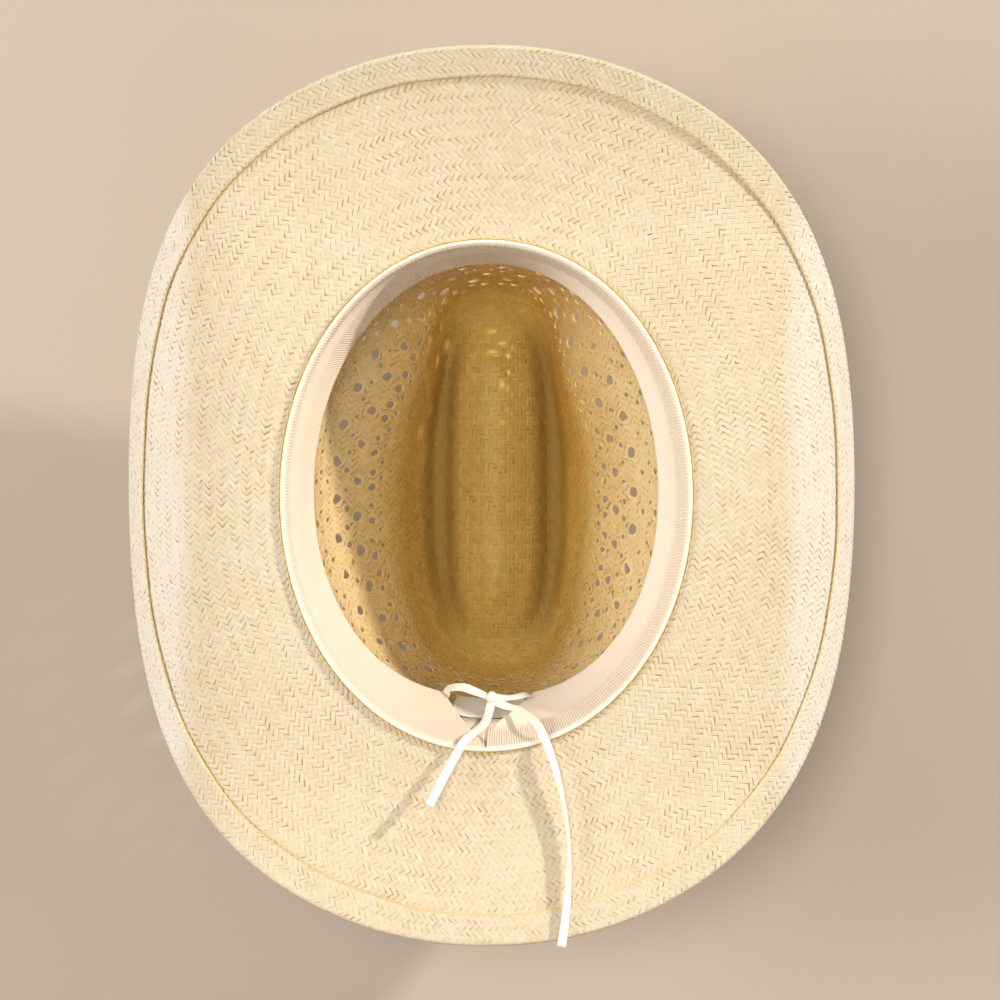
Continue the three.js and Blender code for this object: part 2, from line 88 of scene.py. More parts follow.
def piece(name, points, faces, material, replaces=(), uv=None, tint=None, smooth=True):
    """A mesh piece of the hat from points in millimetres, riding on its body."""
    mesh = bpy.data.meshes.new(name)
    mesh.from_pydata((np.asarray(points) * MM).tolist(), [], [list(f) for f in faces])
    if uv is not None:
        corner = np.zeros(len(mesh.loops), np.int32)
        mesh.loops.foreach_get("vertex_index", corner)
        layer = mesh.uv_layers.new(name="strand")
        layer.data.foreach_set("uv", np.asarray(uv, np.float32)[corner].ravel())
    if tint is not None:
        values = mesh.attributes.new("tint", "FLOAT", "POINT")
        values.data.foreach_set("value", np.asarray(tint, np.float32))
    mesh.polygons.foreach_set("use_smooth", [smooth] * len(mesh.polygons))
    mesh.materials.append(material)
    obj = link(name, mesh)
    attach(obj, BODY)
    if replaces:
        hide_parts(*replaces)
    return obj


def sweep(sections, closed=False):
    """Points and faces of a tube through sections, an array of (section, corner, xyz)."""
    count, corners = sections.shape[:2]
    faces = []
    for i in range(count if closed else count - 1):
        a, b = i * corners, ((i + 1) % count) * corners
        for k in range(corners):
            n = (k + 1) % corners
            faces.append((a + k, a + n, b + n, b + k))
    if not closed:
        faces.append(tuple(range(corners))[::-1])
        faces.append(tuple((count - 1) * corners + k for k in range(corners)))
    return sections.reshape(-1, 3), faces


def run_along(line):
    """How far along a line each of its points is."""
    return np.concatenate([[0], np.cumsum(np.linalg.norm(np.diff(line, axis=0), axis=1))])


def sweep_uv(sections):
    """Lengths along and across a sweep, in centimetres, for its material."""
    along = run_along(sections.mean(1)) / 10
    across = np.linalg.norm(np.diff(sections, axis=1), axis=2).mean(0)
    across = np.concatenate([[0], np.cumsum(across)]) / 10
    u, v = np.meshgrid(along, across, indexing="ij")
    return np.stack([u.ravel(), v.ravel()], 1)


def sweeps(sections, closed=False):
    """Points, faces and lengths of many sweeps of the same size, for one mesh."""
    points, faces, uv = [], [], []
    for section in sections:
        swept, quads = sweep(section, closed)
        base = len(points) * len(swept)
        points.append(swept)
        faces += [tuple(base + k for k in quad) for quad in quads]
        uv.append(sweep_uv(section))
    return np.vstack(points), faces, np.vstack(uv)


def grid(first, second):
    """Every pairing of two rows of numbers: the first numbers, and the second ones."""
    return (pairs.ravel() for pairs in np.meshgrid(first, second, indexing="ij"))


def grid_quads(columns, rows, ring):
    """Quads of a grid of points, closed round into a ring or not."""
    i = np.arange(columns if ring else columns - 1)[:, None]
    j = np.arange(rows - 1)[None]
    n = (i + 1) % columns
    i, n = i * rows + j, n * rows + j
    return np.stack([i, n, n + 1, i + 1], -1).reshape(-1, 4)


def at_height(flat, z):
    """Points of a plan, with their height."""
    return np.concatenate([flat, (z + 0 * flat[..., 0])[..., None]], -1)


def unit(v):
    """Vectors of length one."""
    return v / np.maximum(np.linalg.norm(v, axis=-1, keepdims=True), 1e-9)


def through(points, steps):
    """A smooth line through points, with steps to each stretch."""
    p = np.asarray(points, float)
    p = np.vstack([2 * p[0] - p[1], p, 2 * p[-1] - p[-2]])
    out = []
    for k in range(1, len(p) - 2):
        t = np.linspace(0, 1, steps, endpoint=False)[:, None]
        a, b, c, d = p[k - 1 : k + 3]
        out.append(0.5 * (2 * b + (c - a) * t + (2 * a - 5 * b + 4 * c - d) * t**2
                          + (3 * b - a - 3 * c + d) * t**3))
    return np.vstack(out + [p[-2][None]])


# ---- the part's surfaces ----
HEAD_HALF_WIDTH, HEAD_HALF_LENGTH, HEAD_EXPONENT = 82.3, 102.3, 2.05
BREAK_Z, STRAW = 112.0, 1.2
BRIM_HALF_WIDTH, BRIM_HALF_LENGTH, BRIM_EXPONENT, BRIM_EGG = 164.3, 182.0, 2.06, 0.012
CURL_RADIUS, DIP_RADIUS = 81.0, 191.0
HEM_WIDTH, HEM_LIP_RADIUS = 12.0, 1.35
CROWN_TOP_Z = 110.45
LAST_ROW, RIDGE_ROW, BAND_ROW, RIDGE_EXPONENT = 9.0, 7.0, 2.0, 3.0
SIDE = np.array([
    (HEAD_HALF_WIDTH, CROWN_TOP_Z), (79, 93), (74.5, 75), (69.5, 59.5), (57.5, 46), (43.5, 31.5),
    (34.5, 12.5), (25.5, -0.7), (15.5, 11), (0, 20.5), (-15.5, 11)])
FRONT = np.array([
    (HEAD_HALF_LENGTH, CROWN_TOP_Z), (101, 93), (99, 75), (97, 59), (94.5, 42), (91.5, 26),
    (86, 12.5), (77, 8), (63, 13.5), (52, 20.5), (41, 21)])
BACK = np.array([
    (HEAD_HALF_LENGTH, CROWN_TOP_Z), (99.5, 93), (95.5, 75), (91.5, 59), (87, 42), (82.5, 26),
    (76.5, 13), (68, 8), (56, 13), (44, 20.5), (33, 21)])
RIDGE_FLOOR, RIDGE_SOFTNESS = 1.1, 1.2  # the ridges are pressed flat where the hat stands
SHOULDER_SHIFT, SHOULDER_ROW, SHOULDER_ROWS = 3.2, 3.6, 1.5  # both side dents lean to one side
DENT_ROW, DENT_ROWS, DENT_Y, DENT_LENGTH, DENT_DEPTH = 5.0, 1.4, 54.0, 30.0, 8.0


def meridian(table, row):
    """Point of a meridian (distance from the axis, height) at a row."""
    row = np.clip(row, 0, LAST_ROW)
    k = np.minimum(row.astype(int), len(table) - 2)
    t = (row - k)[..., None]
    a, b = table[np.maximum(k - 1, 0)], table[k]
    c, d = table[k + 1], table[np.minimum(k + 2, len(table) - 1)]
    slope, end = (c - a) / 2, (d - b) / 2
    cube, square = 2 * b - 2 * c + slope + end, 3 * c - 3 * b - 2 * slope - end
    return cube * t**3 + square * t**2 + slope * t + b


def superellipse(width, length, exponent, angle):
    """Point at an angle on an oval; an exponent above 2 makes it squarer."""
    c, s = np.cos(angle), np.sin(angle)
    scale = (np.abs(c) ** exponent + np.abs(s) ** exponent) ** (-1 / exponent)
    return np.stack([width * c * scale, length * s * scale], -1)


def crown_point(angle, row):
    """Point of the crown's inner face."""
    angle, row = np.broadcast_arrays(np.asarray(angle, float), np.asarray(row, float))
    side = meridian(SIDE, row)
    end = np.where(np.sin(angle)[..., None] >= 0, meridian(FRONT, row), meridian(BACK, row))
    squareness = np.clip((row - BAND_ROW) / (RIDGE_ROW - BAND_ROW), 0, 1)
    exponent = HEAD_EXPONENT + (RIDGE_EXPONENT - HEAD_EXPONENT) * squareness
    plan = superellipse(side[..., 0], end[..., 0], exponent, angle)
    share = np.abs(plan[..., 1] / end[..., 0]) ** 3
    dent = DENT_DEPTH * np.abs(np.cos(angle)) ** 0.5 * np.exp(
        -(((row - DENT_ROW) / DENT_ROWS) ** 2) - ((plan[..., 1] - DENT_Y) / DENT_LENGTH) ** 2)
    x = plan[..., 0] - np.sign(np.round(plan[..., 0], 3)) * dent
    lean = np.exp(-(((row - SHOULDER_ROW) / SHOULDER_ROWS) ** 2)) * np.abs(np.cos(angle))
    x = x - SHOULDER_SHIFT * lean
    z = side[..., 1] + (end[..., 1] - side[..., 1]) * share
    z = 0.5 * (z + RIDGE_FLOOR + np.sqrt((z - RIDGE_FLOOR) ** 2 + RIDGE_SOFTNESS**2))
    return np.stack([x, plan[..., 1], z], -1)


def crown(angle, row, inwards=0.0):
    """Point at a distance from the crown's inner face, measured into the head space."""
    step = 0.004
    angle, row = np.broadcast_arrays(np.asarray(angle, float), np.asarray(row, float))
    low, high = np.maximum(row - step, 0), np.minimum(row + step, LAST_ROW - 0.02)
    low = np.minimum(low, high - step)
    around = crown_point(angle + step, row) - crown_point(angle - step, row)
    down = crown_point(angle, high) - crown_point(angle, low)
    normal = unit(np.cross(around, down))
    normal = np.where((row > LAST_ROW - 0.1)[..., None], np.array([0, 0, 1.0]), normal)
    return crown_point(angle, row) + normal * np.asarray(inwards, float)[..., None]


def from_back(angle):
    """How far an angle is from the back of the hat, either way round."""
    return np.abs(np.angle(np.exp(1j * (angle + math.pi / 2))))


def brim_outline(angle):
    """The edge of the brim before it was curled."""
    flat = superellipse(BRIM_HALF_WIDTH, BRIM_HALF_LENGTH, BRIM_EXPONENT, angle)
    flat[..., 0] *= 1 + BRIM_EGG * flat[..., 1] / BRIM_HALF_LENGTH
    return flat


def head_outline(angle, out=0.0):
    """The oval where crown and brim meet, or one a distance outside it."""
    return superellipse(HEAD_HALF_WIDTH + out, HEAD_HALF_LENGTH + out, HEAD_EXPONENT, angle)


def cut_brim(angle, t):
    """Point of the brim before it was curled. t is 0 at the head opening and 1 at the edge."""
    return head_outline(angle) * (1 - t[..., None]) + brim_outline(angle) * t[..., None]


def shaped(flat, lift=0.0):
    """A point of the flat brim where the curled brim has it, raised along its normal."""
    x, y = flat[..., 0], flat[..., 1]
    curl = np.maximum(np.abs(x) - HEAD_HALF_WIDTH, 0) / CURL_RADIUS
    dip = np.maximum(np.abs(y) - HEAD_HALF_LENGTH, 0) / DIP_RADIUS
    sx, sy = np.sign(x), np.sign(y)
    px = np.where(curl > 0, HEAD_HALF_WIDTH + CURL_RADIUS * np.sin(curl), np.abs(x))
    py = np.where(dip > 0, HEAD_HALF_LENGTH + DIP_RADIUS * np.sin(dip), np.abs(y))
    z = BREAK_Z - CURL_RADIUS * (1 - np.cos(curl)) + DIP_RADIUS * (1 - np.cos(dip))
    zero = np.zeros_like(x)
    along_x = np.stack([np.cos(curl), zero, -sx * np.sin(curl)], -1)
    along_y = np.stack([zero, np.cos(dip), sy * np.sin(dip)], -1)
    normal = unit(np.cross(along_x, along_y))
    return np.stack([sx * px, sy * py, z], -1) + normal * (zero + lift)[..., None]


def from_edge(angle, inwards, lift):
    """A point a given distance in from the brim's edge."""
    step = 1e-3
    along = unit(brim_outline(angle + step) - brim_outline(angle - step))
    flat = brim_outline(angle)
    flat[..., 0] -= along[..., 1] * inwards
    flat[..., 1] += along[..., 0] * inwards
    return shaped(flat, lift)


class Rings:
    """Rings on a surface, each divided evenly by length. curve(angle, level) gives a point."""

    ANGLES = 1440
    SHARES = 720

    def __init__(self, curve, levels):
        angle = np.linspace(0, TAU, self.ANGLES + 1)
        self.levels = np.asarray(levels, float)
        self.table, self.lengths = [], []
        for level in self.levels:
            line = curve(angle, np.full_like(angle, level))
            run = run_along(line)
            self.lengths.append(run[-1])
            self.table.append(np.interp(np.linspace(0, 1, self.SHARES + 1), run / run[-1], angle))
        self.table, self.lengths = np.array(self.table), np.array(self.lengths)

    def length(self, level):
        """Length of the ring at a level."""
        return np.interp(level, self.levels, self.lengths)

    def angle(self, share, level):
        """Angle of the point that is this share of the way round the ring at a level."""
        turns = np.floor(share)
        u = (share - turns) * self.SHARES
        k = np.minimum(u.astype(int), self.SHARES - 1)
        place = np.clip(np.interp(level, self.levels, np.arange(len(self.levels))), 0,
                        len(self.levels) - 1.001)
        j = place.astype(int)
        fu, fj = u - k, place - j
        low = self.table[j, k] * (1 - fu) + self.table[j, k + 1] * fu
        high = self.table[j + 1, k] * (1 - fu) + self.table[j + 1, k + 1] * fu
        return low * (1 - fj) + high * fj + turns * TAU


# Down the crown, distance is measured along the mean of its meridians.
ROWS = np.linspace(0, LAST_ROW, 361)
DISTANCES = sum(
    share * run_along(meridian(t, ROWS))
    for share, t in ((0.5, SIDE), (0.25, FRONT), (0.25, BACK)))


def row_at(distance):
    """The crown row at a distance down from the head opening."""
    return np.interp(distance, DISTANCES, ROWS)


def distance_at(row):
    """How far down from the head opening a crown row is."""
    return np.interp(row, ROWS, DISTANCES)


crown_rings = Rings(crown_point, np.linspace(0, 8.9, 60))
brim_rings = Rings(cut_brim, np.linspace(0, 1, 12))

# ---- vents ----
# A diamond lattice of holes round the crown. Each line is the crown row, the places in one
# repeat of the lattice, and the hole's radius.
VENT_REPEATS = 31
VENT_LINES = [
    (2.2, (0.0,), 1.2), (2.45, (0.25, 0.75), 1.15), (2.72, (0.5,), 1.6), (3.0, (0.25, 0.75), 1.15),
    (3.27, (0.5,), 1.2), (3.57, (0.0,), 2.1), (3.86, (0.25, 0.75), 1.2), (4.15, (0.5,), 2.1),
    (4.5, (0.28, 0.72), 1.55), (4.72, (0.0, 0.5), 0.95),
]
VENT_REACH = 2.3  # how far, in radii, the strands are pushed aside
VENT_DROP_FRONT, VENT_DROP_BACK = 17.0, 8.0  # the lattice lies deeper at the hat's ends


def vent_drop(share):
    """How much deeper the lattice lies at this share of the way round."""
    s = np.sin(share * TAU)
    return VENT_DROP_FRONT * np.maximum(s, 0) ** 3 + VENT_DROP_BACK * np.maximum(-s, 0) ** 3


def vents():
    """The lines of the lattice: the place in a repeat, then each vent's share of the way round,
    its slide along the ring, its distance down and its radius, and last the ring's length."""
    index = np.arange(VENT_REPEATS)
    for row, places, radius in VENT_LINES:
        for n, place in enumerate(places):
            slide = 0.35 * np.sin(index * 2.4 + row * 5 + n)
            share = (index + place) / VENT_REPEATS
            down = distance_at(row) + 0.5 * slide[(index * 7 + 3) % VENT_REPEATS] + vent_drop(share)
            size = 1 + 0.3 * slide[(index * 5 + 1) % VENT_REPEATS] + 0.15 * np.sin(share * TAU) ** 6
            yield place, share, slide, down, radius * size, float(crown_rings.length(row))


def open_vents(share, distance):
    """Pushes points aside round the vents. Returns the moved points and, for each, its place
    beside the nearest vent in radii, for finding what would cover the hole."""
    share, distance = share.copy(), distance.copy()
    beside = np.full(share.shape + (2,), 9.0)
    for place, _, slide, down, radius, length in vents():
        cell = np.round(share * VENT_REPEATS - place)
        index = cell.astype(int) % VENT_REPEATS
        du = (share - (cell + place) / VENT_REPEATS) * length - slide[index]
        dm = distance - down[index]
        size = radius[index]
        r = np.hypot(du, dm) / size
        near = r < VENT_REACH
        pushed = 1 + r * (VENT_REACH - 1) / VENT_REACH
        grow = np.where(near, pushed / np.maximum(r, 1e-6), 1)
        share += np.where(near, du * (grow - 1) / length, 0)
        distance += np.where(near, dm * (grow - 1), 0)
        beside[near] = (np.stack([du, dm], -1) * (grow / size)[..., None])[near]
    return share, distance, beside


def clear_of_vents(quads, beside):
    """The quads that don't cover a vent."""
    middle = beside[quads].mean(1)
    spread = np.ptp(beside[quads], axis=1).max(1)
    return quads[(np.hypot(middle[:, 0], middle[:, 1]) > 0.86) | (spread > 6)]


# ---- weaving ----
# The straw is a twill: each strand passes over two others and under two. The floats that show
# are built one by one. In rings they lean 45 degrees one way in one ring and the other way in
# the next. Lengths here are in pitches, and a strand is 1 / sqrt(2) of a pitch wide.
STRAND = 1 / math.sqrt(2)
FLOAT_ALONG = np.array([-1, -0.8, -0.42, 0.42, 0.8, 1])
FLOAT_ACROSS = np.array([-1, -0.6, 0.6, 1])
FLOAT_SINK = np.array([0.42, 0.1, 0, 0, 0.1, 0.42])  # millimetres, where the strand dives
EDGE_SINK = np.array([0.13, 0, 0, 0.13])
THIN_SHARE = 0.16  # how many strands are narrow and leave a dark line beside them
TUCK = 1.3  # length of a float and the ends tucked under its neighbours


def float_grid(count, along, across, sink):
    """Shares along and across, and depths, of each corner of count floats, with their quads."""
    s, v = (g.ravel() for g in np.meshgrid(along, across, indexing="ij"))
    depth = np.add.outer(sink, EDGE_SINK).ravel()
    n, m = len(along), len(across)
    cell = np.array([(i * m + j, (i + 1) * m + j, (i + 1) * m + j + 1, i * m + j + 1)
                     for i in range(n - 1) for j in range(m - 1)])
    quads = (np.arange(count)[:, None, None] * len(s) + cell).reshape(-1, 4)
    return s, v, depth, quads


def floats(centre_u, centre_v, lean, along=FLOAT_ALONG, sink=FLOAT_SINK, width=0.97):
    """Corners of floats that lie at their centres with a lean in radians. All in pitches."""
    count = len(centre_u)
    s, v, depth, quads = float_grid(count, along, FLOAT_ACROSS, sink)
    lean = (lean + rng.normal(0, 0.05, count))[:, None]
    half_length = STRAND * TUCK * rng.uniform(0.95, 1.05, count)[:, None]
    thin = np.where(rng.uniform(0, 1, count) < THIN_SHARE, 0.86, 1.0)
    half_width = STRAND / 2 * width * (thin * rng.uniform(0.94, 1.03, count))[:, None]
    a, b = s * half_length, v * half_width
    u = centre_u[:, None] + a * np.cos(lean) - b * np.sin(lean)
    w = centre_v[:, None] + a * np.sin(lean) + b * np.cos(lean)
    depth = depth * rng.uniform(0.35, 1.35, count)[:, None] + rng.uniform(0, 0.12, count)[:, None]
    shift = rng.uniform(0, 90, (2, count))
    across = 0.5 + 0.5 * v[None] + 0 * a
    uv = np.stack([a / 3 + shift[0][:, None], across / 2 + np.floor(shift[1])[:, None] + 0.25], -1)
    return u, w, depth, uv, quads


def strand_tints(number, size=997):
    """A tint for each strand's number, and a little more for each float."""
    shades = np.random.default_rng(5).uniform(0, 1, size)
    return 0.55 * shades[number.astype(int) % size] + 0.45 * rng.uniform(0, 1, len(number))


def ring_weave(first, last, pitch, length_at, keep=None, **shape):
    """Floats in rings. Returns their corners as (share round, ring, depth) with uv and tint."""
    parts, offset = [], 0
    for ring in range(first, last + 1):
        pair = 2 * (ring // 2) + 0.5
        count = int(round(length_at(pair) / pitch))
        k = np.arange(count)
        rising = ring % 2 == 1
        centre = k + (0.25 if rising else -0.25)
        kept = np.ones(count, bool) if keep is None else keep(centre / count, ring)
        if not kept.any():
            continue
        strand = (k - ring if rising else k + ring) / count * 400 + (500 if rising else 0)
        lean = math.pi * (0.25 if rising else 0.75)
        u, w, depth, uv, quads = floats(centre[kept], np.full(kept.sum(), float(ring)), lean, **shape)
        tint = np.repeat(strand_tints(strand[kept]), depth.shape[1])
        parts.append(((u / count).ravel(), w.ravel(), depth.ravel(), uv.reshape(-1, 2), tint,
                      quads + offset))
        offset += depth.size
    return [np.concatenate(column) for column in zip(*parts)]


def sway(share, ring, size):
    """Slow wandering of the rings, as in anything woven by hand."""
    return size * (np.sin(share * TAU * 3 + ring * 0.31) + 0.7 * np.sin(share * TAU * 8 - ring * 0.53)
                   + 0.5 * np.sin(share * TAU * 17 + ring * 1.1))


# ---- materials ----


class Graph:
    """A material's nodes. Inputs are given by name, with _ for a space, or as a list."""

    def __init__(self, name):
        self.material = bpy.data.materials.new(name)
        self.material.use_nodes = True
        self.tree = self.material.node_tree
        self.tree.nodes.clear()

    def add(self, kind, values=(), out=0, **inputs):
        """A node with its inputs, given in order or by name. Returns one of its outputs."""
        node = self.tree.nodes.new("ShaderNode" + kind)
        named = {k: v for k, v in inputs.items() if hasattr(node, k) and k.islower()}
        for key, value in named.items():
            setattr(node, key, value)
        for key, value in [*enumerate(values), *((k.replace("_", " "), v) for k, v in inputs.items()
                                                 if k not in named)]:
            if value is None:
                continue
            if isinstance(value, bpy.types.NodeSocket):
                self.tree.links.new(value, node.inputs[key])
            else:
                node.inputs[key].default_value = value
        return node.outputs[out] if node.outputs else None

    def math(self, operation, *values):
        """A sum, product or other operation on values."""
        return self.add("Math", values, operation=operation)

    def total(self, *parts):
        """The sum of values, each given with its weight."""
        result, *others = [self.math("MULTIPLY", *part) for part in parts]
        for other in others:
            result = self.math("ADD", result, other)
        return result

    def mix(self, share, a, b):
        """Colour b over colour a, by a share."""
        node = self.tree.nodes.new("ShaderNodeMix")
        node.data_type = "RGBA"
        for socket, value in ((node.inputs[0], share), (node.inputs[6], a), (node.inputs[7], b)):
            if isinstance(value, bpy.types.NodeSocket):
                self.tree.links.new(value, socket)
            else:
                socket.default_value = value
        return node.outputs[2]

    def ramp(self, value, low, high, start=0.0, end=1.0, kind="LINEAR"):
        """A value between low and high, brought to between start and end."""
        return self.add("MapRange", (value, low, high, start, end), interpolation_type=kind)

    def spread(self, value, low, high):
        """A value from 0 to 1, brought to between low and high."""
        return self.ramp(value, 0.0, 1.0, low, high)

    def noise(self, vector, scale, detail=2.0, roughness=0.5):
        """Noise from 0 to 1."""
        return self.add("TexNoise", Vector=vector, Scale=scale, Detail=detail, Roughness=roughness)

    def strand_uv(self, along, across):
        """A place along and across a strand, scaled."""
        where = self.add("UVMap", uv_map="strand")
        return self.add("Mapping", Vector=where, Scale=(along, across, 1.0))

    def place(self):
        """A place on the hat, in metres."""
        return self.add("TexCoord", out=3)

    def part(self, vector, axis):
        """One coordinate of a place: 0 for x, 1 for y and 2 for z."""
        return self.add("SeparateXYZ", (vector,), out=axis)

    def tint(self):
        """The value that a piece has stored at its points: a strand's own tone, or where a point lies
        on a rib.
        """
        return self.add("Attribute", attribute_name="tint", out=2)

    def finish(self, shader):
        """The material, with its shader."""
        self.add("OutputMaterial", Surface=shader)
        return self.material


def rgb(*values):
    """A colour with its alpha."""
    return (*values, 1.0)


def split_lines(g):
    """1 along the lines in a strand where its three straws lie side by side."""
    where = g.math("FRACT", g.part(g.strand_uv(1.0, 1.0), 1))
    across = g.math("SUBTRACT", where, g.math("MULTIPLY", g.tint(), 0.05))
    wave = g.math("ABSOLUTE", g.math("SINE", g.math("MULTIPLY", across, 6 * math.pi)))
    return g.math("POWER", g.math("SUBTRACT", 1.0, wave), 2.2)


def straw(name, light, dark, glow, through=0.4, deep_shade=None, curl_highlight=None):
    """Split palm: fine fibres along each strand, each float its own shade, and light through it.
    A colour pair for down in the crown paints shade there, darker and more golden as for light
    bouncing inside it, and darker still at the bottom of its two grooves. A colour for the sides
    paints a highlight: paler straw out at the curled sides of the brim."""
    g = Graph(name)
    fibre = g.noise(g.strand_uv(1.2, 26.0), 1.0, 3.0, 0.6)
    streak = g.noise(g.strand_uv(0.5, 7.0), 1.0, 1.0)
    # Painted shade and relief: the split lines darken the colour between the straws and also sink in
    # the bump.
    split_shade_and_relief = g.math("MULTIPLY", split_lines(g), g.spread(streak, 0.3, 1.5))
    patch = g.noise(g.place(), 22.0, 2.0)
    tone = g.total((fibre, 0.34), (streak, 0.26), (g.tint(), 0.28), (patch, 0.22), (split_shade_and_relief, -0.3))
    tone = g.ramp(tone, 0.15, 0.72)
    colour = g.mix(tone, dark, light)
    # Painted shade: lower in the crown the colour turns darker and more golden, and at the bottom of
    # the two grooves darker still.
    if deep_shade:
        z = g.part(g.place(), 2)
        depth = g.ramp(z, *DEEP_SHADE_RANGE, 0.9, 0.0, "SMOOTHSTEP")
        groove_shade = g.ramp(z, *GROOVE_SHADE_RANGE, 0.65, 0.0, "SMOOTHSTEP")
        colour = g.mix(groove_shade, g.mix(depth, colour, g.mix(tone, *deep_shade)), GROOVE_SHADE_COLOUR)
    # Painted highlight: out at the curled sides of the brim the colour turns paler.
    if curl_highlight:
        beside = g.total((g.math("ABSOLUTE", g.part(g.place(), 0)), 1.0), (patch, 0.012))
        colour = g.mix(g.ramp(beside, *CURL_HIGHLIGHT_RANGE, 0.0, 0.7, "SMOOTHSTEP"), colour, curl_highlight)
    height = g.total((fibre, 1.0), (streak, 0.8), (split_shade_and_relief, -1.6))
    bump = g.add("Bump", Strength=0.5, Distance=0.0002, Height=height)
    rough = g.spread(fibre, 0.42, 0.66)
    face = g.add("BsdfPrincipled", Base_Color=colour, Roughness=rough, Specular_IOR_Level=0.35,
                 Normal=bump)
    back = g.add("BsdfTranslucent", Color=g.mix(0.5, colour, glow), Normal=bump)
    return g.finish(g.add("MixShader", (through, face, back)))


def cloth(name, light, dark, along, across, sheen=0.15, rough=0.85, glow=0.12, groove_shade=None):
    """Woven textile seen by its yarns in two directions, with painted shade in the valleys between its
    ribs if a colour for them is given.
    """
    g = Graph(name)
    warp = g.noise(g.strand_uv(along, 2.0), 1.0, 1.0)
    weft = g.noise(g.strand_uv(2.0, across), 1.0, 1.0)
    soft = g.noise(g.place(), 60.0, 2.0)
    tone = g.total((warp, 0.4), (weft, 0.35), (soft, 0.25))
    colour = g.mix(g.ramp(tone, 0.3, 0.7), dark, light)
    # Painted shade: the valleys between the ribs are coloured darker.
    if groove_shade:
        valley_shade = g.math("SUBTRACT", 1.0, g.tint())
        colour = g.mix(g.math("MULTIPLY", g.math("POWER", valley_shade, 3.0), 0.75), colour, groove_shade)
    bump = g.add("Bump", Strength=0.4, Distance=0.00012, Height=g.math("ADD", warp, weft))
    face = g.add("BsdfPrincipled", Base_Color=colour, Roughness=rough, Sheen_Weight=sheen,
                 Sheen_Roughness=0.4, Specular_IOR_Level=0.2, Normal=bump)
    back = g.add("BsdfTranslucent", Color=colour)
    return g.finish(g.add("MixShader", (glow, face, back)))


def satin(name, light, dark):
    """Glossy ribbon with fine threads along it."""
    g = Graph(name)
    thread = g.noise(g.strand_uv(1.0, 70.0), 1.0, 2.0)
    slow = g.noise(g.strand_uv(2.5, 4.0), 1.0, 1.0)
    colour = g.mix(g.math("MULTIPLY", thread, slow), light, dark)
    bump = g.add("Bump", Strength=0.3, Distance=0.00008, Height=thread)
    face = g.add("BsdfPrincipled", Base_Color=colour, Roughness=g.spread(thread, 0.26, 0.42),
                 Sheen_Weight=0.3, Sheen_Roughness=0.3, Normal=bump)
    back = g.add("BsdfTranslucent", Color=light)
    return g.finish(g.add("MixShader", (0.15, face, back)))


def leather(name, light, dark):
    """Oiled leather: pores and creases, darker in the hollows, with a worn lighter bloom."""
    g = Graph(name)
    cells = g.add("TexVoronoi", Vector=g.place(), Scale=1500.0, feature="DISTANCE_TO_EDGE")
    cells = g.ramp(cells, 0.0, 0.25)
    cloud = g.noise(g.place(), 55.0, 4.0, 0.6)
    wear = g.noise(g.place(), 240.0, 3.0)
    tone = g.total((cloud, 0.75), (wear, 0.25))
    colour = g.mix(g.ramp(tone, 0.3, 0.72), dark, light)
    colour = g.mix(g.math("MULTIPLY", g.math("SUBTRACT", 1.0, cells), 0.5), colour, dark)
    bump = g.add("Bump", Strength=0.45, Distance=0.0002, Height=g.math("ADD", cells, wear))
    return g.finish(g.add("BsdfPrincipled", Base_Color=colour, Normal=bump,
                          Roughness=g.spread(cloud, 0.38, 0.6), Specular_IOR_Level=0.5))


def metal(name, colour, dark, rough):
    """Cast and tumbled metal, with faint scratches and tarnish in the hollows."""
    g = Graph(name)
    cloud = g.noise(g.place(), 300.0, 4.0, 0.6)
    scratch = g.noise(g.add("Mapping", Vector=g.place(), Scale=(3000.0, 260.0, 260.0)), 1.0, 2.0)
    bump = g.add("Bump", Strength=0.15, Distance=0.00008, Height=g.math("ADD", scratch, cloud))
    return g.finish(g.add("BsdfPrincipled", Base_Color=g.mix(g.spread(cloud, 0.0, 0.8), colour, dark),
                          Metallic=1.0, Roughness=g.spread(scratch, rough, rough + 0.2), Normal=bump))


DEEP_SHADE_RANGE = (0.012, 0.066)  # metres above the floor, over which painted shade turns the inside darker and more golden
GROOVE_SHADE_RANGE = (0.002, 0.012)  # and where painted shade darkens the bottom of its two grooves
GROOVE_SHADE_COLOUR = rgb(0.38, 0.21, 0.03)
CURL_HIGHLIGHT_RANGE = (0.122, 0.136)  # metres from the middle, where a painted highlight makes the curled sides paler
STRAW_LIGHT = straw("straw", rgb(0.91, 0.84, 0.66), rgb(0.77, 0.62, 0.37), rgb(0.95, 0.72, 0.34),
                    curl_highlight=rgb(0.97, 0.94, 0.86))
# Painted shade: the inside of the crown is a more golden copy of the straw, for light that bounces
# inside it.
STRAW_INSIDE_SHADE = straw("straw_inside_painted_shade", rgb(0.97, 0.86, 0.55), rgb(0.83, 0.63, 0.28),
                     rgb(0.98, 0.70, 0.13), through=0.45,
                     deep_shade=(rgb(0.64, 0.39, 0.05), rgb(0.97, 0.72, 0.19)))
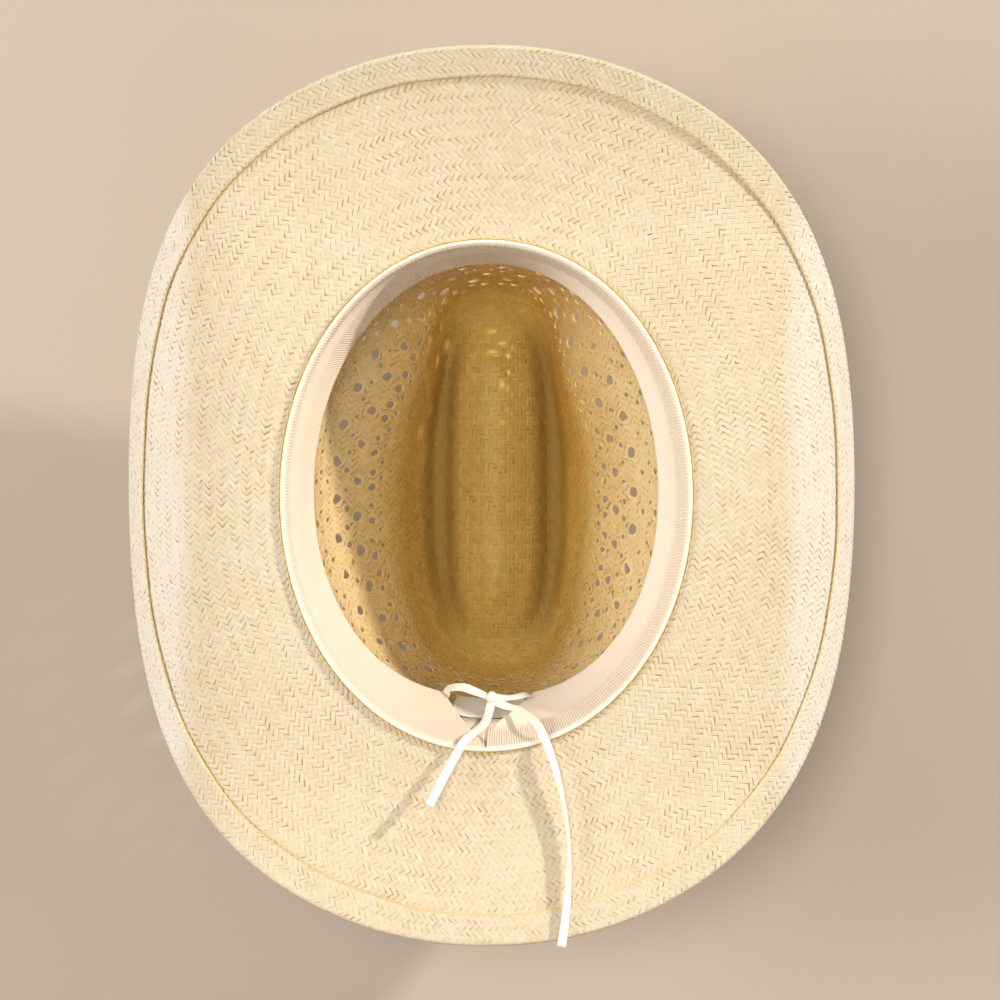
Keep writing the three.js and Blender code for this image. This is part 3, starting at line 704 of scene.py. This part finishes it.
# Painted shade: the strands between the faces are much darker than the straw, so the gaps between
# floats look shadowed.
STRAW_CORE_SHADE = straw("straw_core_painted_shade", rgb(0.62, 0.43, 0.17), rgb(0.40, 0.24, 0.07),
                   rgb(0.95, 0.60, 0.12), through=0.6)
GROSGRAIN = cloth("grosgrain", rgb(0.88, 0.78, 0.64), rgb(0.82, 0.70, 0.54), 30.0, 30.0)
RIBBED = cloth("ribbed_grosgrain", rgb(0.83, 0.73, 0.62), rgb(0.79, 0.675, 0.545), 30.0, 30.0,
               groove_shade=rgb(0.64, 0.45, 0.28))
THREAD = cloth("thread", rgb(0.84, 0.64, 0.28), rgb(0.62, 0.42, 0.13), 40.0, 40.0)
SATIN = satin("satin", rgb(0.88, 0.84, 0.74), rgb(0.74, 0.67, 0.52))
LABEL = satin("label", rgb(0.93, 0.93, 0.94), rgb(0.84, 0.83, 0.83))
LEATHER = leather("leather", rgb(0.22, 0.10, 0.045), rgb(0.09, 0.04, 0.02))
METAL = metal("buckle_metal", rgb(0.80, 0.76, 0.68), rgb(0.42, 0.38, 0.32), 0.2)
WIRE = metal("spring_wire", rgb(0.56, 0.57, 0.58), rgb(0.3, 0.3, 0.3), 0.3)

# ---- crown ----
CROWN_STRAND = 2.1
CROWN_PITCH = CROWN_STRAND / STRAND
CROWN_RINGS = int(distance_at(6.95) / CROWN_PITCH)
BRAID_ROW = 6.6  # the braid over the crown's top starts here, under the last rings
CROWN_ALONG = np.array([-1, -0.8, -0.5, -0.17, 0.17, 0.5, 0.8, 1])
CROWN_SINK = np.array([0.5, 0.14, 0, 0, 0, 0, 0.14, 0.5])
BAND_HIDES = 30.0  # above this distance the sweatband covers the inside
NOTCH_HALF_ANGLE = 0.42


def crown_woven(share, distance, depth, side):
    """Corner of a float on one side of the crown; side is 1 inside and -1 outside."""
    share = share + sway(share, distance / CROWN_PITCH, 0.0004)
    share, distance, beside = open_vents(share, distance)
    row = row_at(distance)
    rim = np.clip((1.35 - np.hypot(beside[..., 0], beside[..., 1])) / 0.35, 0, 1)
    base = np.where(side > 0, 0.0, -STRAW)
    raise_ = base - side * depth - side * rim * (STRAW / 2 - 0.12)
    point = crown(crown_rings.angle(share, row), row, raise_)
    return point, beside


def woven_piece(name, points, quads, side, material, uv, tint, replaces=()):
    """A woven face of the hat; side is 1 for one that faces the head and -1 for the other."""
    quads = quads if side > 0 else quads[:, ::-1]
    piece(name, points, quads, material, replaces, uv, tint)


def crown_weave(name, side, replaces=()):
    """The strands on one side of the crown. Inside, none are made where the band hides them."""

    def keep(share, ring):
        if side < 0 or ring * CROWN_PITCH > BAND_HIDES:
            return np.ones(len(share), bool)
        return from_back(share * TAU) < NOTCH_HALF_ANGLE

    for part, (first, last) in enumerate(((0, 20), (21, CROWN_RINGS))):
        u, ring, depth, uv, tint, quads = ring_weave(
            first, last, CROWN_PITCH, lambda r: crown_rings.length(row_at(r * CROWN_PITCH)), keep,
            along=CROWN_ALONG, sink=CROWN_SINK)
        points, beside = crown_woven(u, ring * CROWN_PITCH, depth, side)
        quads = clear_of_vents(quads, beside)
        woven_piece(f"{name}_{part}", points, quads, side, STRAW_INSIDE_SHADE if side > 0 else STRAW_LIGHT,
                    uv, tint, () if part else replaces)


def vent_rims():
    """The strand that runs round each vent and holds it open."""
    corners, around = 6, 16
    turn = (np.arange(around) / around * TAU)[:, None]
    section = (np.arange(corners) / corners * TAU)[None]
    rims = []
    for _, share, slide, down, radius, length in vents():
        for k, size in enumerate(radius):
            wide = min(0.5, 0.32 * size)
            r = (size * 0.98 + wide * (1 + np.cos(section))) * (1 + 0.06 * np.sin(turn * 3 + k))
            row = row_at(down[k] + r * np.sin(turn))
            lift = -STRAW / 2 + 0.46 * np.sin(section) + 0 * r
            angle = crown_rings.angle(share[k] + (slide[k] + r * np.cos(turn)) / length, row)
            rims.append(crown(angle, row, lift))
    points, faces, uv = sweeps(rims, closed=True)
    uv += np.repeat(np.arange(len(rims)) % VENT_REPEATS * 0.37, around * corners)[:, None]
    piece("vent_rims", points, faces, STRAW_INSIDE_SHADE, (), uv, np.full(len(points), 0.5))


def crown_core():
    """The strands between the two faces, as one sheet."""
    columns = 480
    distance = np.linspace(0, DISTANCES[-1], 132)
    share, level, beside = open_vents(*grid(np.arange(columns) / columns, distance))
    row = np.minimum(row_at(level), LAST_ROW)
    points = crown(crown_rings.angle(share, row), row, np.full(len(row), -STRAW / 2))
    quads = grid_quads(columns, len(distance), True)
    piece("crown_core", points, clear_of_vents(quads, beside), STRAW_CORE_SHADE, (),
          np.stack([share * 58, level / 10], 1), np.full(len(points), 0.5))


crown_weave("crown_weave_inside", 1, ("crown",))
crown_weave("crown_weave_outside", -1)
crown_core()
vent_rims()


def crown_top(name, side):
    """The flat braid the crown starts from: strands straight along and across the crease."""
    columns, rows, first_row = 256, 120, 5.0
    angle, row = grid(np.arange(columns) / columns * TAU, np.linspace(first_row, LAST_ROW, rows))
    surface = crown(angle, row, np.full(angle.size, 0.0 if side > 0 else -STRAW))
    quads = grid_quads(columns, rows, True)
    tree = BVHTree.FromPolygons(surface.tolist(), quads.tolist())
    across = meridian(SIDE, np.linspace(9, 6, 200))
    run = run_along(across)
    i, j = grid(np.arange(-24, 25), np.arange(-42, 43))
    start = (i + j) % 4 == 0
    turned = (i + j) % 4 == 2
    cu = np.concatenate([i[start], i[turned] + 0.5]) * CROWN_STRAND
    cv = np.concatenate([j[start] + 0.5, j[turned]]) * CROWN_STRAND
    lean = np.concatenate([np.full(start.sum(), math.pi / 2), np.zeros(turned.sum())])
    number = np.concatenate([i[start] + 60, j[turned] + 260])
    u, w, depth, uv, quads = floats(cu / CROWN_PITCH, cv / CROWN_PITCH, lean)
    x = np.sign(u) * np.maximum(np.interp(np.abs(u) * CROWN_PITCH, run, across[:, 0]), 0.03)
    y = w * CROWN_PITCH + 4
    rows_found = np.zeros(x.shape)
    points = np.zeros(x.shape + (3,))
    for f in range(x.shape[0]):
        for k in range(x.shape[1]):
            hit, normal, face, _ = tree.ray_cast((x[f, k], y[f, k], 90.0), (0, 0, -1))
            if hit is None:
                continue
            rows_found[f, k] = first_row + (face % (rows - 1)) * (LAST_ROW - first_row) / (rows - 1)
            if normal.z < 0:
                normal = -normal
            points[f, k] = hit - normal * (side * depth[f, k])
    keep = np.repeat(rows_found.min(1) > BRAID_ROW, x.shape[1])
    renumber = np.cumsum(keep) - 1
    quads = renumber[quads[keep[quads].all(1)]]
    points = points.reshape(-1, 3)[keep]
    tint = np.repeat(strand_tints(number), x.shape[1])[keep]
    woven_piece(name, points, quads, side, STRAW_INSIDE_SHADE if side > 0 else STRAW_LIGHT,
                uv.reshape(-1, 2)[keep], tint)


crown_top("crown_top_inside", 1)
crown_top("crown_top_outside", -1)

# ---- brim ----
BRIM_STRAND = 1.95
BRIM_PITCH = BRIM_STRAND / STRAND
BRIM_REACH = 81.0  # from the head opening to the edge, along the cut brim


def brim_woven(share, ring, depth, side):
    """Corner of a float on one side of the brim; side is 1 above and -1 below."""
    t = ring * BRIM_PITCH / BRIM_REACH
    share = share + sway(share, ring, 0.0003)
    t = np.clip(t + sway(share, ring * 0.3, 0.0016), 0, 1)
    angle = brim_rings.angle(share, t)
    return shaped(cut_brim(angle, t), (0 if side > 0 else -STRAW) - side * depth)


def brim_weave(name, side, reach, replaces=()):
    """The strands on one side of the brim, out to a distance from the head opening."""
    last = int(reach / BRIM_PITCH)
    middle = int(last * 0.55)
    for part, (first, end) in enumerate(((0, middle), (middle + 1, last))):
        u, ring, depth, uv, tint, quads = ring_weave(
            first, end, BRIM_PITCH, lambda r: brim_rings.length(r * BRIM_PITCH / BRIM_REACH))
        woven_piece(f"{name}_{part}", brim_woven(u, ring, depth, side), quads, side, STRAW_LIGHT,
                    uv, tint, () if part else replaces)


def brim_core():
    """The strands between the two faces of the brim, as one sheet."""
    columns, rows = 256, 28
    share, t = grid(np.arange(columns) / columns, np.linspace(0, 0.965, rows))
    points = shaped(cut_brim(brim_rings.angle(share, t), t), -STRAW / 2)
    piece("brim_core", points, grid_quads(columns, rows, True), STRAW_CORE_SHADE, (),
          np.stack([share * 90, t * 8], 1), np.full(len(t), 0.5))


brim_weave("brim_weave_upper", 1, BRIM_REACH - 7.5, ("brim",))
brim_weave("brim_weave_lower", -1, BRIM_REACH - 3.0)
brim_core()

# ---- hem ----
# Round the hem's section from its inner edge over the top, round the lip and a little under.
LIP_CENTRE_LIFT = 0.175
HEM_ROUND = 0.55  # radius of the folded inner edge
HEM_UNDER = 4.5
HEM_SINK = np.array([0.42, 0.12, 0, 0, 0, 0, 0.12, 0.42])


def hem_profile(run):
    """Distance in from the edge, lift and the outward direction at a length round the hem."""
    top = HEM_WIDTH - HEM_LIP_RADIUS
    turn = math.pi * HEM_LIP_RADIUS
    inwards = np.where(run < top, HEM_WIDTH - run, HEM_LIP_RADIUS + np.maximum(run - top - turn, 0))
    lift = np.where(run < top, LIP_CENTRE_LIFT + HEM_LIP_RADIUS, LIP_CENTRE_LIFT - HEM_LIP_RADIUS)
    phase = np.clip((run - top) / HEM_LIP_RADIUS, 0, math.pi)
    on_lip = (run >= top) & (run <= top + turn)
    inwards = np.where(on_lip, HEM_LIP_RADIUS - HEM_LIP_RADIUS * np.sin(phase), inwards)
    lift = np.where(on_lip, LIP_CENTRE_LIFT + HEM_LIP_RADIUS * np.cos(phase), lift)
    return inwards, lift, np.sin(phase), np.cos(phase)


def hem_woven(share, run, depth):
    """Corner of a float of the hem, at a length round its section."""
    share = share + sway(share, run, 0.0003)
    before = np.minimum(run, 0)  # the start of the strip rolls under at the inner edge
    run = np.maximum(run, 0)
    inwards, lift, out, up = hem_profile(run)
    roll = np.clip(-before / HEM_ROUND, 0, 2.2)
    inwards = inwards + HEM_ROUND * np.sin(np.minimum(roll, math.pi / 2))
    lift = lift - HEM_ROUND * (1 - np.cos(np.minimum(roll, 1.9)))
    angle = brim_rings.angle(share, np.full(share.shape, 0.97))
    edge = 0.5 * np.sin(angle * 9) + 0.35 * np.sin(angle * 23 + 1)
    inwards = inwards + edge * np.clip(1 - run / 8, 0, 1) * 0.5
    return from_edge(angle, inwards + out * depth, lift - up * depth)


def hem():
    """The folded strip: its strands on top, those round the edge, and the sheet under them."""
    pitch = BRIM_PITCH * 0.97
    length = HEM_WIDTH - HEM_LIP_RADIUS + math.pi * HEM_LIP_RADIUS + HEM_UNDER
    on_top, last = int(HEM_WIDTH * 0.8 / pitch), int(length / pitch)
    for name, first, end in (("hem_weave", 0, on_top), ("hem_weave_edge", on_top + 1, last)):
        u, ring, depth, uv, tint, quads = ring_weave(
            first, end, pitch, lambda r: brim_rings.length(0.97), along=CROWN_ALONG, sink=HEM_SINK)
        points = hem_woven(u, (ring - 0.1) * pitch, depth)
        piece(name, points, quads, STRAW_LIGHT, () if first else ("brim_hem",), uv, tint)
    columns = 512
    run = np.concatenate([[-1.2, -0.8, -0.4], np.linspace(0, length, 34)])
    share, level = grid(np.arange(columns) / columns, run)
    core = hem_woven(share, level, np.full(share.shape, 0.38))
    piece("hem_core", core, grid_quads(columns, len(run), True), STRAW_CORE_SHADE, (),
          np.stack([share * 100, level / 10], 1), np.full(len(core), 0.5))


hem()


def stitches(name, line, replaces, count, sewn, radius, lift_to=0.35):
    """A row of separate stitches, of which each covers the sewn share of its place in the row.
    line(share, lift) gives a point of the seam."""
    rings, corners = 7, 6
    turn = (np.arange(corners) / corners * TAU)[None, :, None]
    t = np.linspace(0, 1, rings)
    rise = lift_to * np.sin(t * math.pi) ** 0.6 - radius
    thick = (radius * (0.55 + 0.45 * np.sin(t * math.pi) ** 0.4))[:, None, None]
    sections = []
    for n in range(count):
        share = (n + 0.5 + (t - 0.5) * sewn) / count
        centre = line(share, rise)
        tangent = unit(np.gradient(centre, axis=0))
        normal = unit(line(share, rise + 1) - centre)
        side = np.cross(tangent, normal)
        sections.append(centre[:, None] + thick * (
            np.cos(turn) * side[:, None] + np.sin(turn) * normal[:, None]))
    points, faces, uv = sweeps(sections)
    piece(name, points, faces, THREAD, replaces, uv)


def hem_seam(share, lift):
    """Where the hem's inner edge is sewn to the brim."""
    angle = brim_rings.angle(share, np.full(share.shape, 0.97))
    edge = 0.25 * np.sin(angle * 9) + 0.18 * np.sin(angle * 23 + 1)
    return from_edge(angle, HEM_WIDTH + 0.45 + edge, 1.0 + lift)


stitches("hem_stitches", hem_seam, ("hem_stitching",), count=300, sewn=0.95, radius=0.46)

# ---- sweatband ----
BAND_DEPTH, BAND_THICKNESS, BAND_LEAN, NOTCH_HALF_WIDTH = 36.5, 0.8, 7.5, 23.0
WELT_RADIUS = 0.8
RIBS = 488
RIB_HEIGHT = 0.2


def beside_wall(angle, depth, inwards):
    """Point beside the crown's wall. depth is 0 at the seam and 1 at the band's free edge."""
    point = crown(angle, depth * BAND_ROW, inwards)
    lean = BAND_LEAN * np.clip(depth, 0, 1) ** 1.5 * np.exp(-((from_back(angle) / 0.62) ** 2))
    inward = np.stack([-point[..., 0] / HEAD_HALF_WIDTH**2, -point[..., 1] / HEAD_HALF_LENGTH**2,
                       np.zeros(point.shape[:-1])], -1)
    point = point + unit(inward) * lean[..., None]
    point[..., 2] += (1 - depth) * 1.1
    return point


def band_angle(share, depth):
    """Round the head from one side of the back notch to the other. The ends meet near the seam."""
    part = np.clip(depth, 0, 1)
    left = 0.3 + NOTCH_HALF_WIDTH * np.clip((part - 0.42) / 0.58, 0, 1) ** 1.1
    right = 0.3 + NOTCH_HALF_WIDTH * np.clip((part - 0.15) / 0.85, 0, 1)
    start = -math.pi / 2 + np.arcsin(left / (HEAD_HALF_WIDTH - 4))
    end = 1.5 * math.pi - np.arcsin(right / (HEAD_HALF_WIDTH - 4))
    return start + (end - start) * share


def band_clearance(depth, angle=0.0):
    """Room behind the band. It lies closer to the wall on the wearer's right."""
    return 0.5 + 2.2 * np.clip(depth, 0, 1) * (1 - 0.7 * np.clip(-np.cos(angle), 0, 1) ** 2)


def over_welt(angle, depth, point):
    """Above the seam the cloth rolls outwards over the welt, down to the brim."""
    roll = np.clip(-depth, 0, 1) * 2.6
    flat_in = 1.3 - (WELT_RADIUS + 0.25) * (1 - np.cos(roll)) * 1.15
    z = BREAK_Z - 0.1 + (WELT_RADIUS + 0.55) * np.sin(np.minimum(roll, 2.9))
    return np.where((depth < 0)[..., None], at_height(head_outline(angle, -flat_in), z), point)


def band_piece(name, depths, offsets, columns, material, replaces, rib=0.0):
    """A strip whose closed section is given by depths and offsets from the band's back."""
    share = np.linspace(0, 1, columns)[:, None]
    depths, offsets = np.asarray(depths, float)[None], np.asarray(offsets, float)[None]
    angle = band_angle(share, depths)
    wave = np.sin(share * RIBS * TAU) * (offsets > BAND_THICKNESS / 2)
    depth = depths + 0 * angle
    inwards = band_clearance(depths, angle) + offsets + rib * wave
    section = over_welt(angle, depth, beside_wall(angle, np.maximum(depth, 0), inwards))
    if rib:
        section[..., 2] += np.where(depth < 0, rib * wave, 0)
    points, faces = sweep(section)
    return piece(name, points, faces, material, replaces, sweep_uv(section),
                 (0.5 + 0.5 * wave + 0 * depth).ravel())


def sweatband():
    """The ribbed band, its turned edge and the ribbon that runs in it."""
    face = np.concatenate([[-1.0, -0.8, -0.6, -0.4, -0.2], np.linspace(0, 0.985, 16)])
    depths = np.concatenate([face, [1.0, 1.0, 0.985], [0.7, 0.4, 0.1]])
    offsets = np.concatenate([np.full(len(face), BAND_THICKNESS), [0.6, 0.2, 0.0], np.zeros(3)])
    band_piece("sweatband_cloth", depths, offsets, RIBS * 4 + 1, RIBBED,
               ("sweatband",), RIB_HEIGHT)
    start = 1 - 5.5 / BAND_DEPTH
    band_piece("sweatband_fold", [start, 0.99, 0.99, start], [-1.2, -1.2, -1.6, -1.6], 200,
               GROSGRAIN, ("sweatband_casing",))
    start += 0.04
    band_piece("ribbon_in_casing", [start, 0.985, 0.985, start], [-0.4, -0.4, -0.8, -0.8], 200,
               SATIN, ("draw_ribbon",))


def band_backing():
    """The tape behind the notch, which the two ends of the band are sewn to."""
    columns = 160
    share = np.linspace(-1, 1, columns)[:, None]
    depths = np.array([0, 0.16, 0.32, 0.48, 0.64, 0.64, 0.48, 0.32, 0.16, 0])[None]
    offsets = np.array([0.3] * 5 + [0.05] * 5)[None]
    angle = -math.pi / 2 + 0.3 * share + 0 * depths
    wave = np.sin(share * 26 * TAU) * (offsets > 0.2)
    inwards = band_clearance(depths) - 0.5 + offsets + 0.1 * wave
    section = beside_wall(angle, depths + 0 * angle, inwards)
    points, faces = sweep(section)
    return piece("band_backing", points, faces, RIBBED, (), sweep_uv(section),
                 (0.5 + 0.5 * wave + 0 * angle).ravel())


sweatband()
band_backing()


def reed():
    """The welt: a cord wrapped in the band's cloth, where band and brim are sewn together."""
    columns, corners, radius = 900, 10, WELT_RADIUS
    angle = np.arange(columns) / columns * TAU
    turn = np.arange(corners) / corners * TAU
    swell = radius * (1 + 0.05 * np.sin(angle * 260))[:, None]
    grow = 0.3 + swell * np.cos(turn)[None]
    z = BREAK_Z + 0.35 + radius + swell * np.sin(turn)[None]
    section = at_height(head_outline(angle[:, None], grow), z)
    points, faces = sweep(section, closed=True)
    piece("welt", points, faces, GROSGRAIN, ("sweatband_reed",), sweep_uv(section))


reed()


def band_seam(share, lift):
    """Where the rolled cloth meets the brim, just outside the welt."""
    angle = share * TAU
    out = 1.75 + 0.12 * np.sin(angle * 40)
    return at_height(head_outline(angle, out), BREAK_Z + 0.45 + lift)


stitches("sweatband_stitches", band_seam, ("sweatband_stitching",), count=190, sewn=0.9,
         radius=0.42)

# ---- label ----
LABEL_HALF_ANGLE, LABEL_ROW, LABEL_ROWS = 0.22, 2.05, 1.45


def label():
    """A blank woven label, sewn to the crown behind the knot."""
    columns, rows = 41, 15
    share, down = grid(np.linspace(-1, 1, columns), np.linspace(0, 1, rows))
    angle, row = -math.pi / 2 + LABEL_HALF_ANGLE * share, LABEL_ROW + LABEL_ROWS * down
    curl = 0.5 * np.abs(share) ** 4 + 0.25 * np.sin(share * 3 + down * 2)
    top, under = (crown(angle, row, off_wall + curl) for off_wall in (1.2, 1.0))
    quads = grid_quads(columns, rows, False)
    points = np.vstack([top, under])
    faces = [*map(tuple, quads), *map(tuple, (quads + len(top))[:, ::-1])]
    number = np.arange(columns * rows).reshape(columns, rows)
    edge = [*number[:, 0], *number[-1, 1:], *number[-2::-1, -1], *number[0, -2:0:-1]]
    for a, b in zip(edge, edge[1:] + edge[:1]):
        faces.append((b, a, a + len(top), b + len(top)))
    uv = np.stack([share * 1.4, down], 1)
    piece("blank_label", points, faces, LABEL, ("size_label",), np.vstack([uv, uv]))


label()

# ---- tie ribbon ----
RIBBON_WIDTH, RIBBON_THICKNESS = 3.6, 0.34
KNOT = np.array([1.0, -84.5, 84.0])
LEAD_LEFT = [(-17, -81.4, 78.6), (-11.5, -80.4, 82), (-6, -81.8, 84), (0, -84, 84.2)]
LEAD_RIGHT = [(16, -83.4, 80.5), (11, -84.2, 82.6), (6, -84.5, 84), (1.8, -84.5, 84)]
LEAD_HIDDEN = (-29.5, -26.0, -22.0)  # where a lead comes out of the band's turned edge
TAIL_LEFT = [
    (0.9, -86.2, 84.2), (0.2, -90, 88.6), (-0.8, -92.8, 95), (-2.6, -94.8, 102), (-5.4, -96.4, 108.5),
    (-8, -98.4, 113.8), (-10.6, -102, 117), (-13.6, -107.4, 118.8), (-16.8, -113.4, 120.8),
    (-19.6, -118.8, 123.4), (-22, -123.4, 126.8)]
TAIL_RIGHT = [
    (2.2, -86, 84.4), (8, -87.8, 87.2), (12, -88.2, 91), (15.4, -89.4, 97), (18.4, -90.8, 104),
    (21, -93, 110.4), (23.4, -96.6, 115.2), (26, -102.4, 117.4), (28.6, -110, 118), (31, -119, 118.4),
    (33, -130, 119), (34.2, -143, 120.8), (33.6, -158, 124.6), (32.4, -170, 129), (31, -178.6, 132.8)]


def ribbon(name, points, facing, replaces, width=RIBBON_WIDTH, cup=0.25, steps=10):
    """A flat ribbon along a line. facing gives the ribbon's face at some points along it."""
    line = through(points, steps)
    tangent = unit(np.gradient(line, axis=0))
    t = np.linspace(0, 1, len(line))
    known = np.asarray(facing, float)
    face = np.stack([np.interp(t, np.linspace(0, 1, len(known)), known[:, c]) for c in range(3)], 1)
    side = unit(np.cross(tangent, face))
    normal = np.cross(side, tangent)
    turn = np.arange(14) / 14 * TAU
    a, b = (np.sign(wave) * np.abs(wave) ** 0.7 * size / 2
            for wave, size in ((np.cos(turn), width), (np.sin(turn), RIBBON_THICKNESS)))
    b = b - cup * (a / (width / 2)) ** 2
    section = line[:, None] + a[None, :, None] * side[:, None] + b[None, :, None] * normal[:, None]
    mesh_points, faces = sweep(section)
    obj = piece(name, mesh_points, faces, SATIN, replaces, sweep_uv(section))
    return obj, line


def in_turned_edge(x):
    """The ribbon's place between the band and its turned edge, at a distance from the middle."""
    angle = np.array([-math.pi / 2 + math.asin(x / (HEAD_HALF_WIDTH - 4))])
    depth = np.array([0.95])
    return tuple(beside_wall(angle, depth, band_clearance(depth, angle) - 0.6)[0])


def free_tail(name, points, facing, node):
    """A free end of the tie, swept along its own line."""
    obj, line = ribbon(name, points, facing, (node,))


free_tail("ribbon_tail_left", TAIL_LEFT,
          [(0, 1, 0.2), (0.2, 0.9, 0.4), (0.3, 0.5, 0.8), (0.2, 0.3, 1), (0.5, 0.4, 0.8)],
          "tie_tail_left")
free_tail("ribbon_tail_right", TAIL_RIGHT,
          [(0, 0.4, 1), (-0.3, 0.9, 0.5), (-0.1, 0.8, 0.7), (0, 0.3, 1), (0.2, 0, 1), (0.9, -0.1, 1),
           (1.0, 0, 0.45), (1.0, 0, 0.35), (0.5, 0, 1), (0, -0.2, 1)], "tie_tail_right")
ribbon("ribbon_lead_left", [in_turned_edge(x) for x in LEAD_HIDDEN] + LEAD_LEFT,
       [(0, 1, 0), (0, 1, 0.1), (0, 0.6, 0.8), (0, 0.3, 1), (0.3, 0.8, 0.5)], ("tie_lead_left",))
ribbon("ribbon_lead_right", [in_turned_edge(-x) for x in LEAD_HIDDEN] + LEAD_RIGHT,
       [(0, 1, 0), (0, 1, 0.1), (0, 0.8, 0.6), (0.2, 0.9, 0.4), (0, 0.3, 1)], ("tie_lead_right",))


def knot():
    """An overhand knot drawn tight: two turns of ribbon round each other."""
    t = np.linspace(0, TAU, 9)[:-1]
    turns = [((0.15, 1.0, 0.0), (0.25, 0.0, 1.0), 2.4, 2.3),
             ((1.0, 0.1, 0.1), (0.0, 0.35, 1.0), 2.2, 2.0)]
    for n, (first, second, wide, high) in enumerate(turns):
        a, b = np.array(first), np.array(second)
        loop = KNOT + wide * np.cos(t)[:, None] * a + high * np.sin(t)[:, None] * b
        loop = np.vstack([loop, loop[:2] + 0.25 * unit(np.cross(a, b))])
        facing = unit(loop - KNOT)
        ribbon(f"knot_turn_{n}", loop, facing, ("tie_knot",) if n == 0 else (), width=2.9, cup=0.4)


knot()

# ---- hatband ----
HATBAND_LOW_Z, HATBAND_HIGH_Z, HATBAND_CLEARANCE, HATBAND_THICKNESS = 92.0, 106.0, 1.55, 1.6


def row_of_height(z):
    """The crown row at a height on its sides."""
    rows = np.linspace(0, 3, 400)
    return float(np.interp(-z, -meridian(SIDE, rows)[:, 1], rows))


def strap(name, angles, low_z, high_z, below, thickness, replaces, closed):
    """A leather strap round the crown, creased along both edges."""
    high, low = row_of_height(high_z), row_of_height(low_z)
    fine = np.array([0.0, 0.015, 0.05, 0.085, 0.1, 0.115, 0.2, 0.35, 0.5, 0.65, 0.8, 0.885, 0.9, 0.915,
                     0.95, 0.985, 1.0])
    edge = 0.5 * np.array([1, 0.45, 0.1, 0.06, 0.3, 0.06, 0, 0, 0, 0, 0, 0.06, 0.3, 0.06, 0.1, 0.45, 1])
    shares = np.concatenate([fine, fine[::-4]])
    rises = np.concatenate([below + thickness - edge, np.full(5, below)])
    rises[17] = rises[-1] = below + 0.15
    rows = high + (low - high) * shares[None]
    section = crown(angles[:, None], rows, -rises[None] + 0 * angles[:, None])
    points, faces = sweep(section, closed)
    faces = [face[::-1] for face in faces]
    piece(name, points, faces, LEATHER, replaces, sweep_uv(section))


strap("hatband_strap", np.arange(360) / 360 * TAU, HATBAND_LOW_Z, HATBAND_HIGH_Z,
      STRAW + HATBAND_CLEARANCE, HATBAND_THICKNESS, ("hatband",), True)
strap("strap_tongue", np.linspace(-0.1, -0.6, 70), HATBAND_LOW_Z + 1.5, HATBAND_HIGH_Z - 1.5,
      STRAW + HATBAND_CLEARANCE + HATBAND_THICKNESS + 0.35, 1.2, ("hatband_tongue",), False)

for node in ("buckle_frame", "buckle_prong", "hatband_keeper", "hatband_tip", "brim_wire"):
    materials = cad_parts[node].data.materials
    materials.clear()
    materials.append(WIRE if node == "brim_wire" else METAL)

# ---- floor and light ----


def floor():
    """A plain pale floor."""
    g = Graph("floor")
    colour = g.mix(g.noise(g.place(), 3.0, 3.0), rgb(0.37, 0.31, 0.25), rgb(0.41, 0.345, 0.28))
    material = g.finish(g.add("BsdfPrincipled", Base_Color=colour, Roughness=0.9,
                              Specular_IOR_Level=0.1))
    mesh = bpy.data.meshes.new("floor")
    half = 6.0
    mesh.from_pydata([(-half, -half, 0), (half, -half, 0), (half, half, 0), (-half, half, 0)], [],
                     [(0, 1, 2, 3)])
    mesh.materials.append(material)
    link("floor", mesh)


def lamp(name, towards, distance, size, power, colour=(1.0, 0.98, 0.95)):
    """An area light that shines on the hat from a direction, a distance away in metres."""
    data = bpy.data.lights.new(name, "AREA")
    data.shape, data.size, data.energy, data.color = "DISK", size, power, colour
    obj = link(name, data)
    direction = Vector(towards).normalized()
    obj.location = direction * distance + Vector((0, 0, 0.08))
    obj.rotation_euler = direction.to_track_quat("Z", "Y").to_euler()


floor()
lamp("key", (0.85, 0.53, 0.43), distance=3.0, size=0.16, power=100.0, colour=(1.0, 0.96, 0.88))
lamp("top", (-0.12, 0.1, 1.0), distance=2.4, size=0.9, power=36.0)
LOW = 0.6  # height of the soft boxes round the hat, beside their distance
for name, side_x, side_y, power in (("left", -1, 0.1, 42.0), ("right", 1, -0.1, 7.0),
                                    ("front", -0.1, 1, 4.0), ("back", 0.1, -1, 5.0)):
    lamp("soft_" + name, (side_x, side_y, LOW), distance=2.2, size=1.1, power=power)
world = bpy.data.worlds.new("world")
world.use_nodes = True
sky = world.node_tree.nodes["Background"].inputs
sky["Color"].default_value, sky["Strength"].default_value = rgb(1.0, 0.97, 0.93), 0.14
bpy.context.scene.world = world
bpy.context.scene.view_settings.view_transform = "Standard"
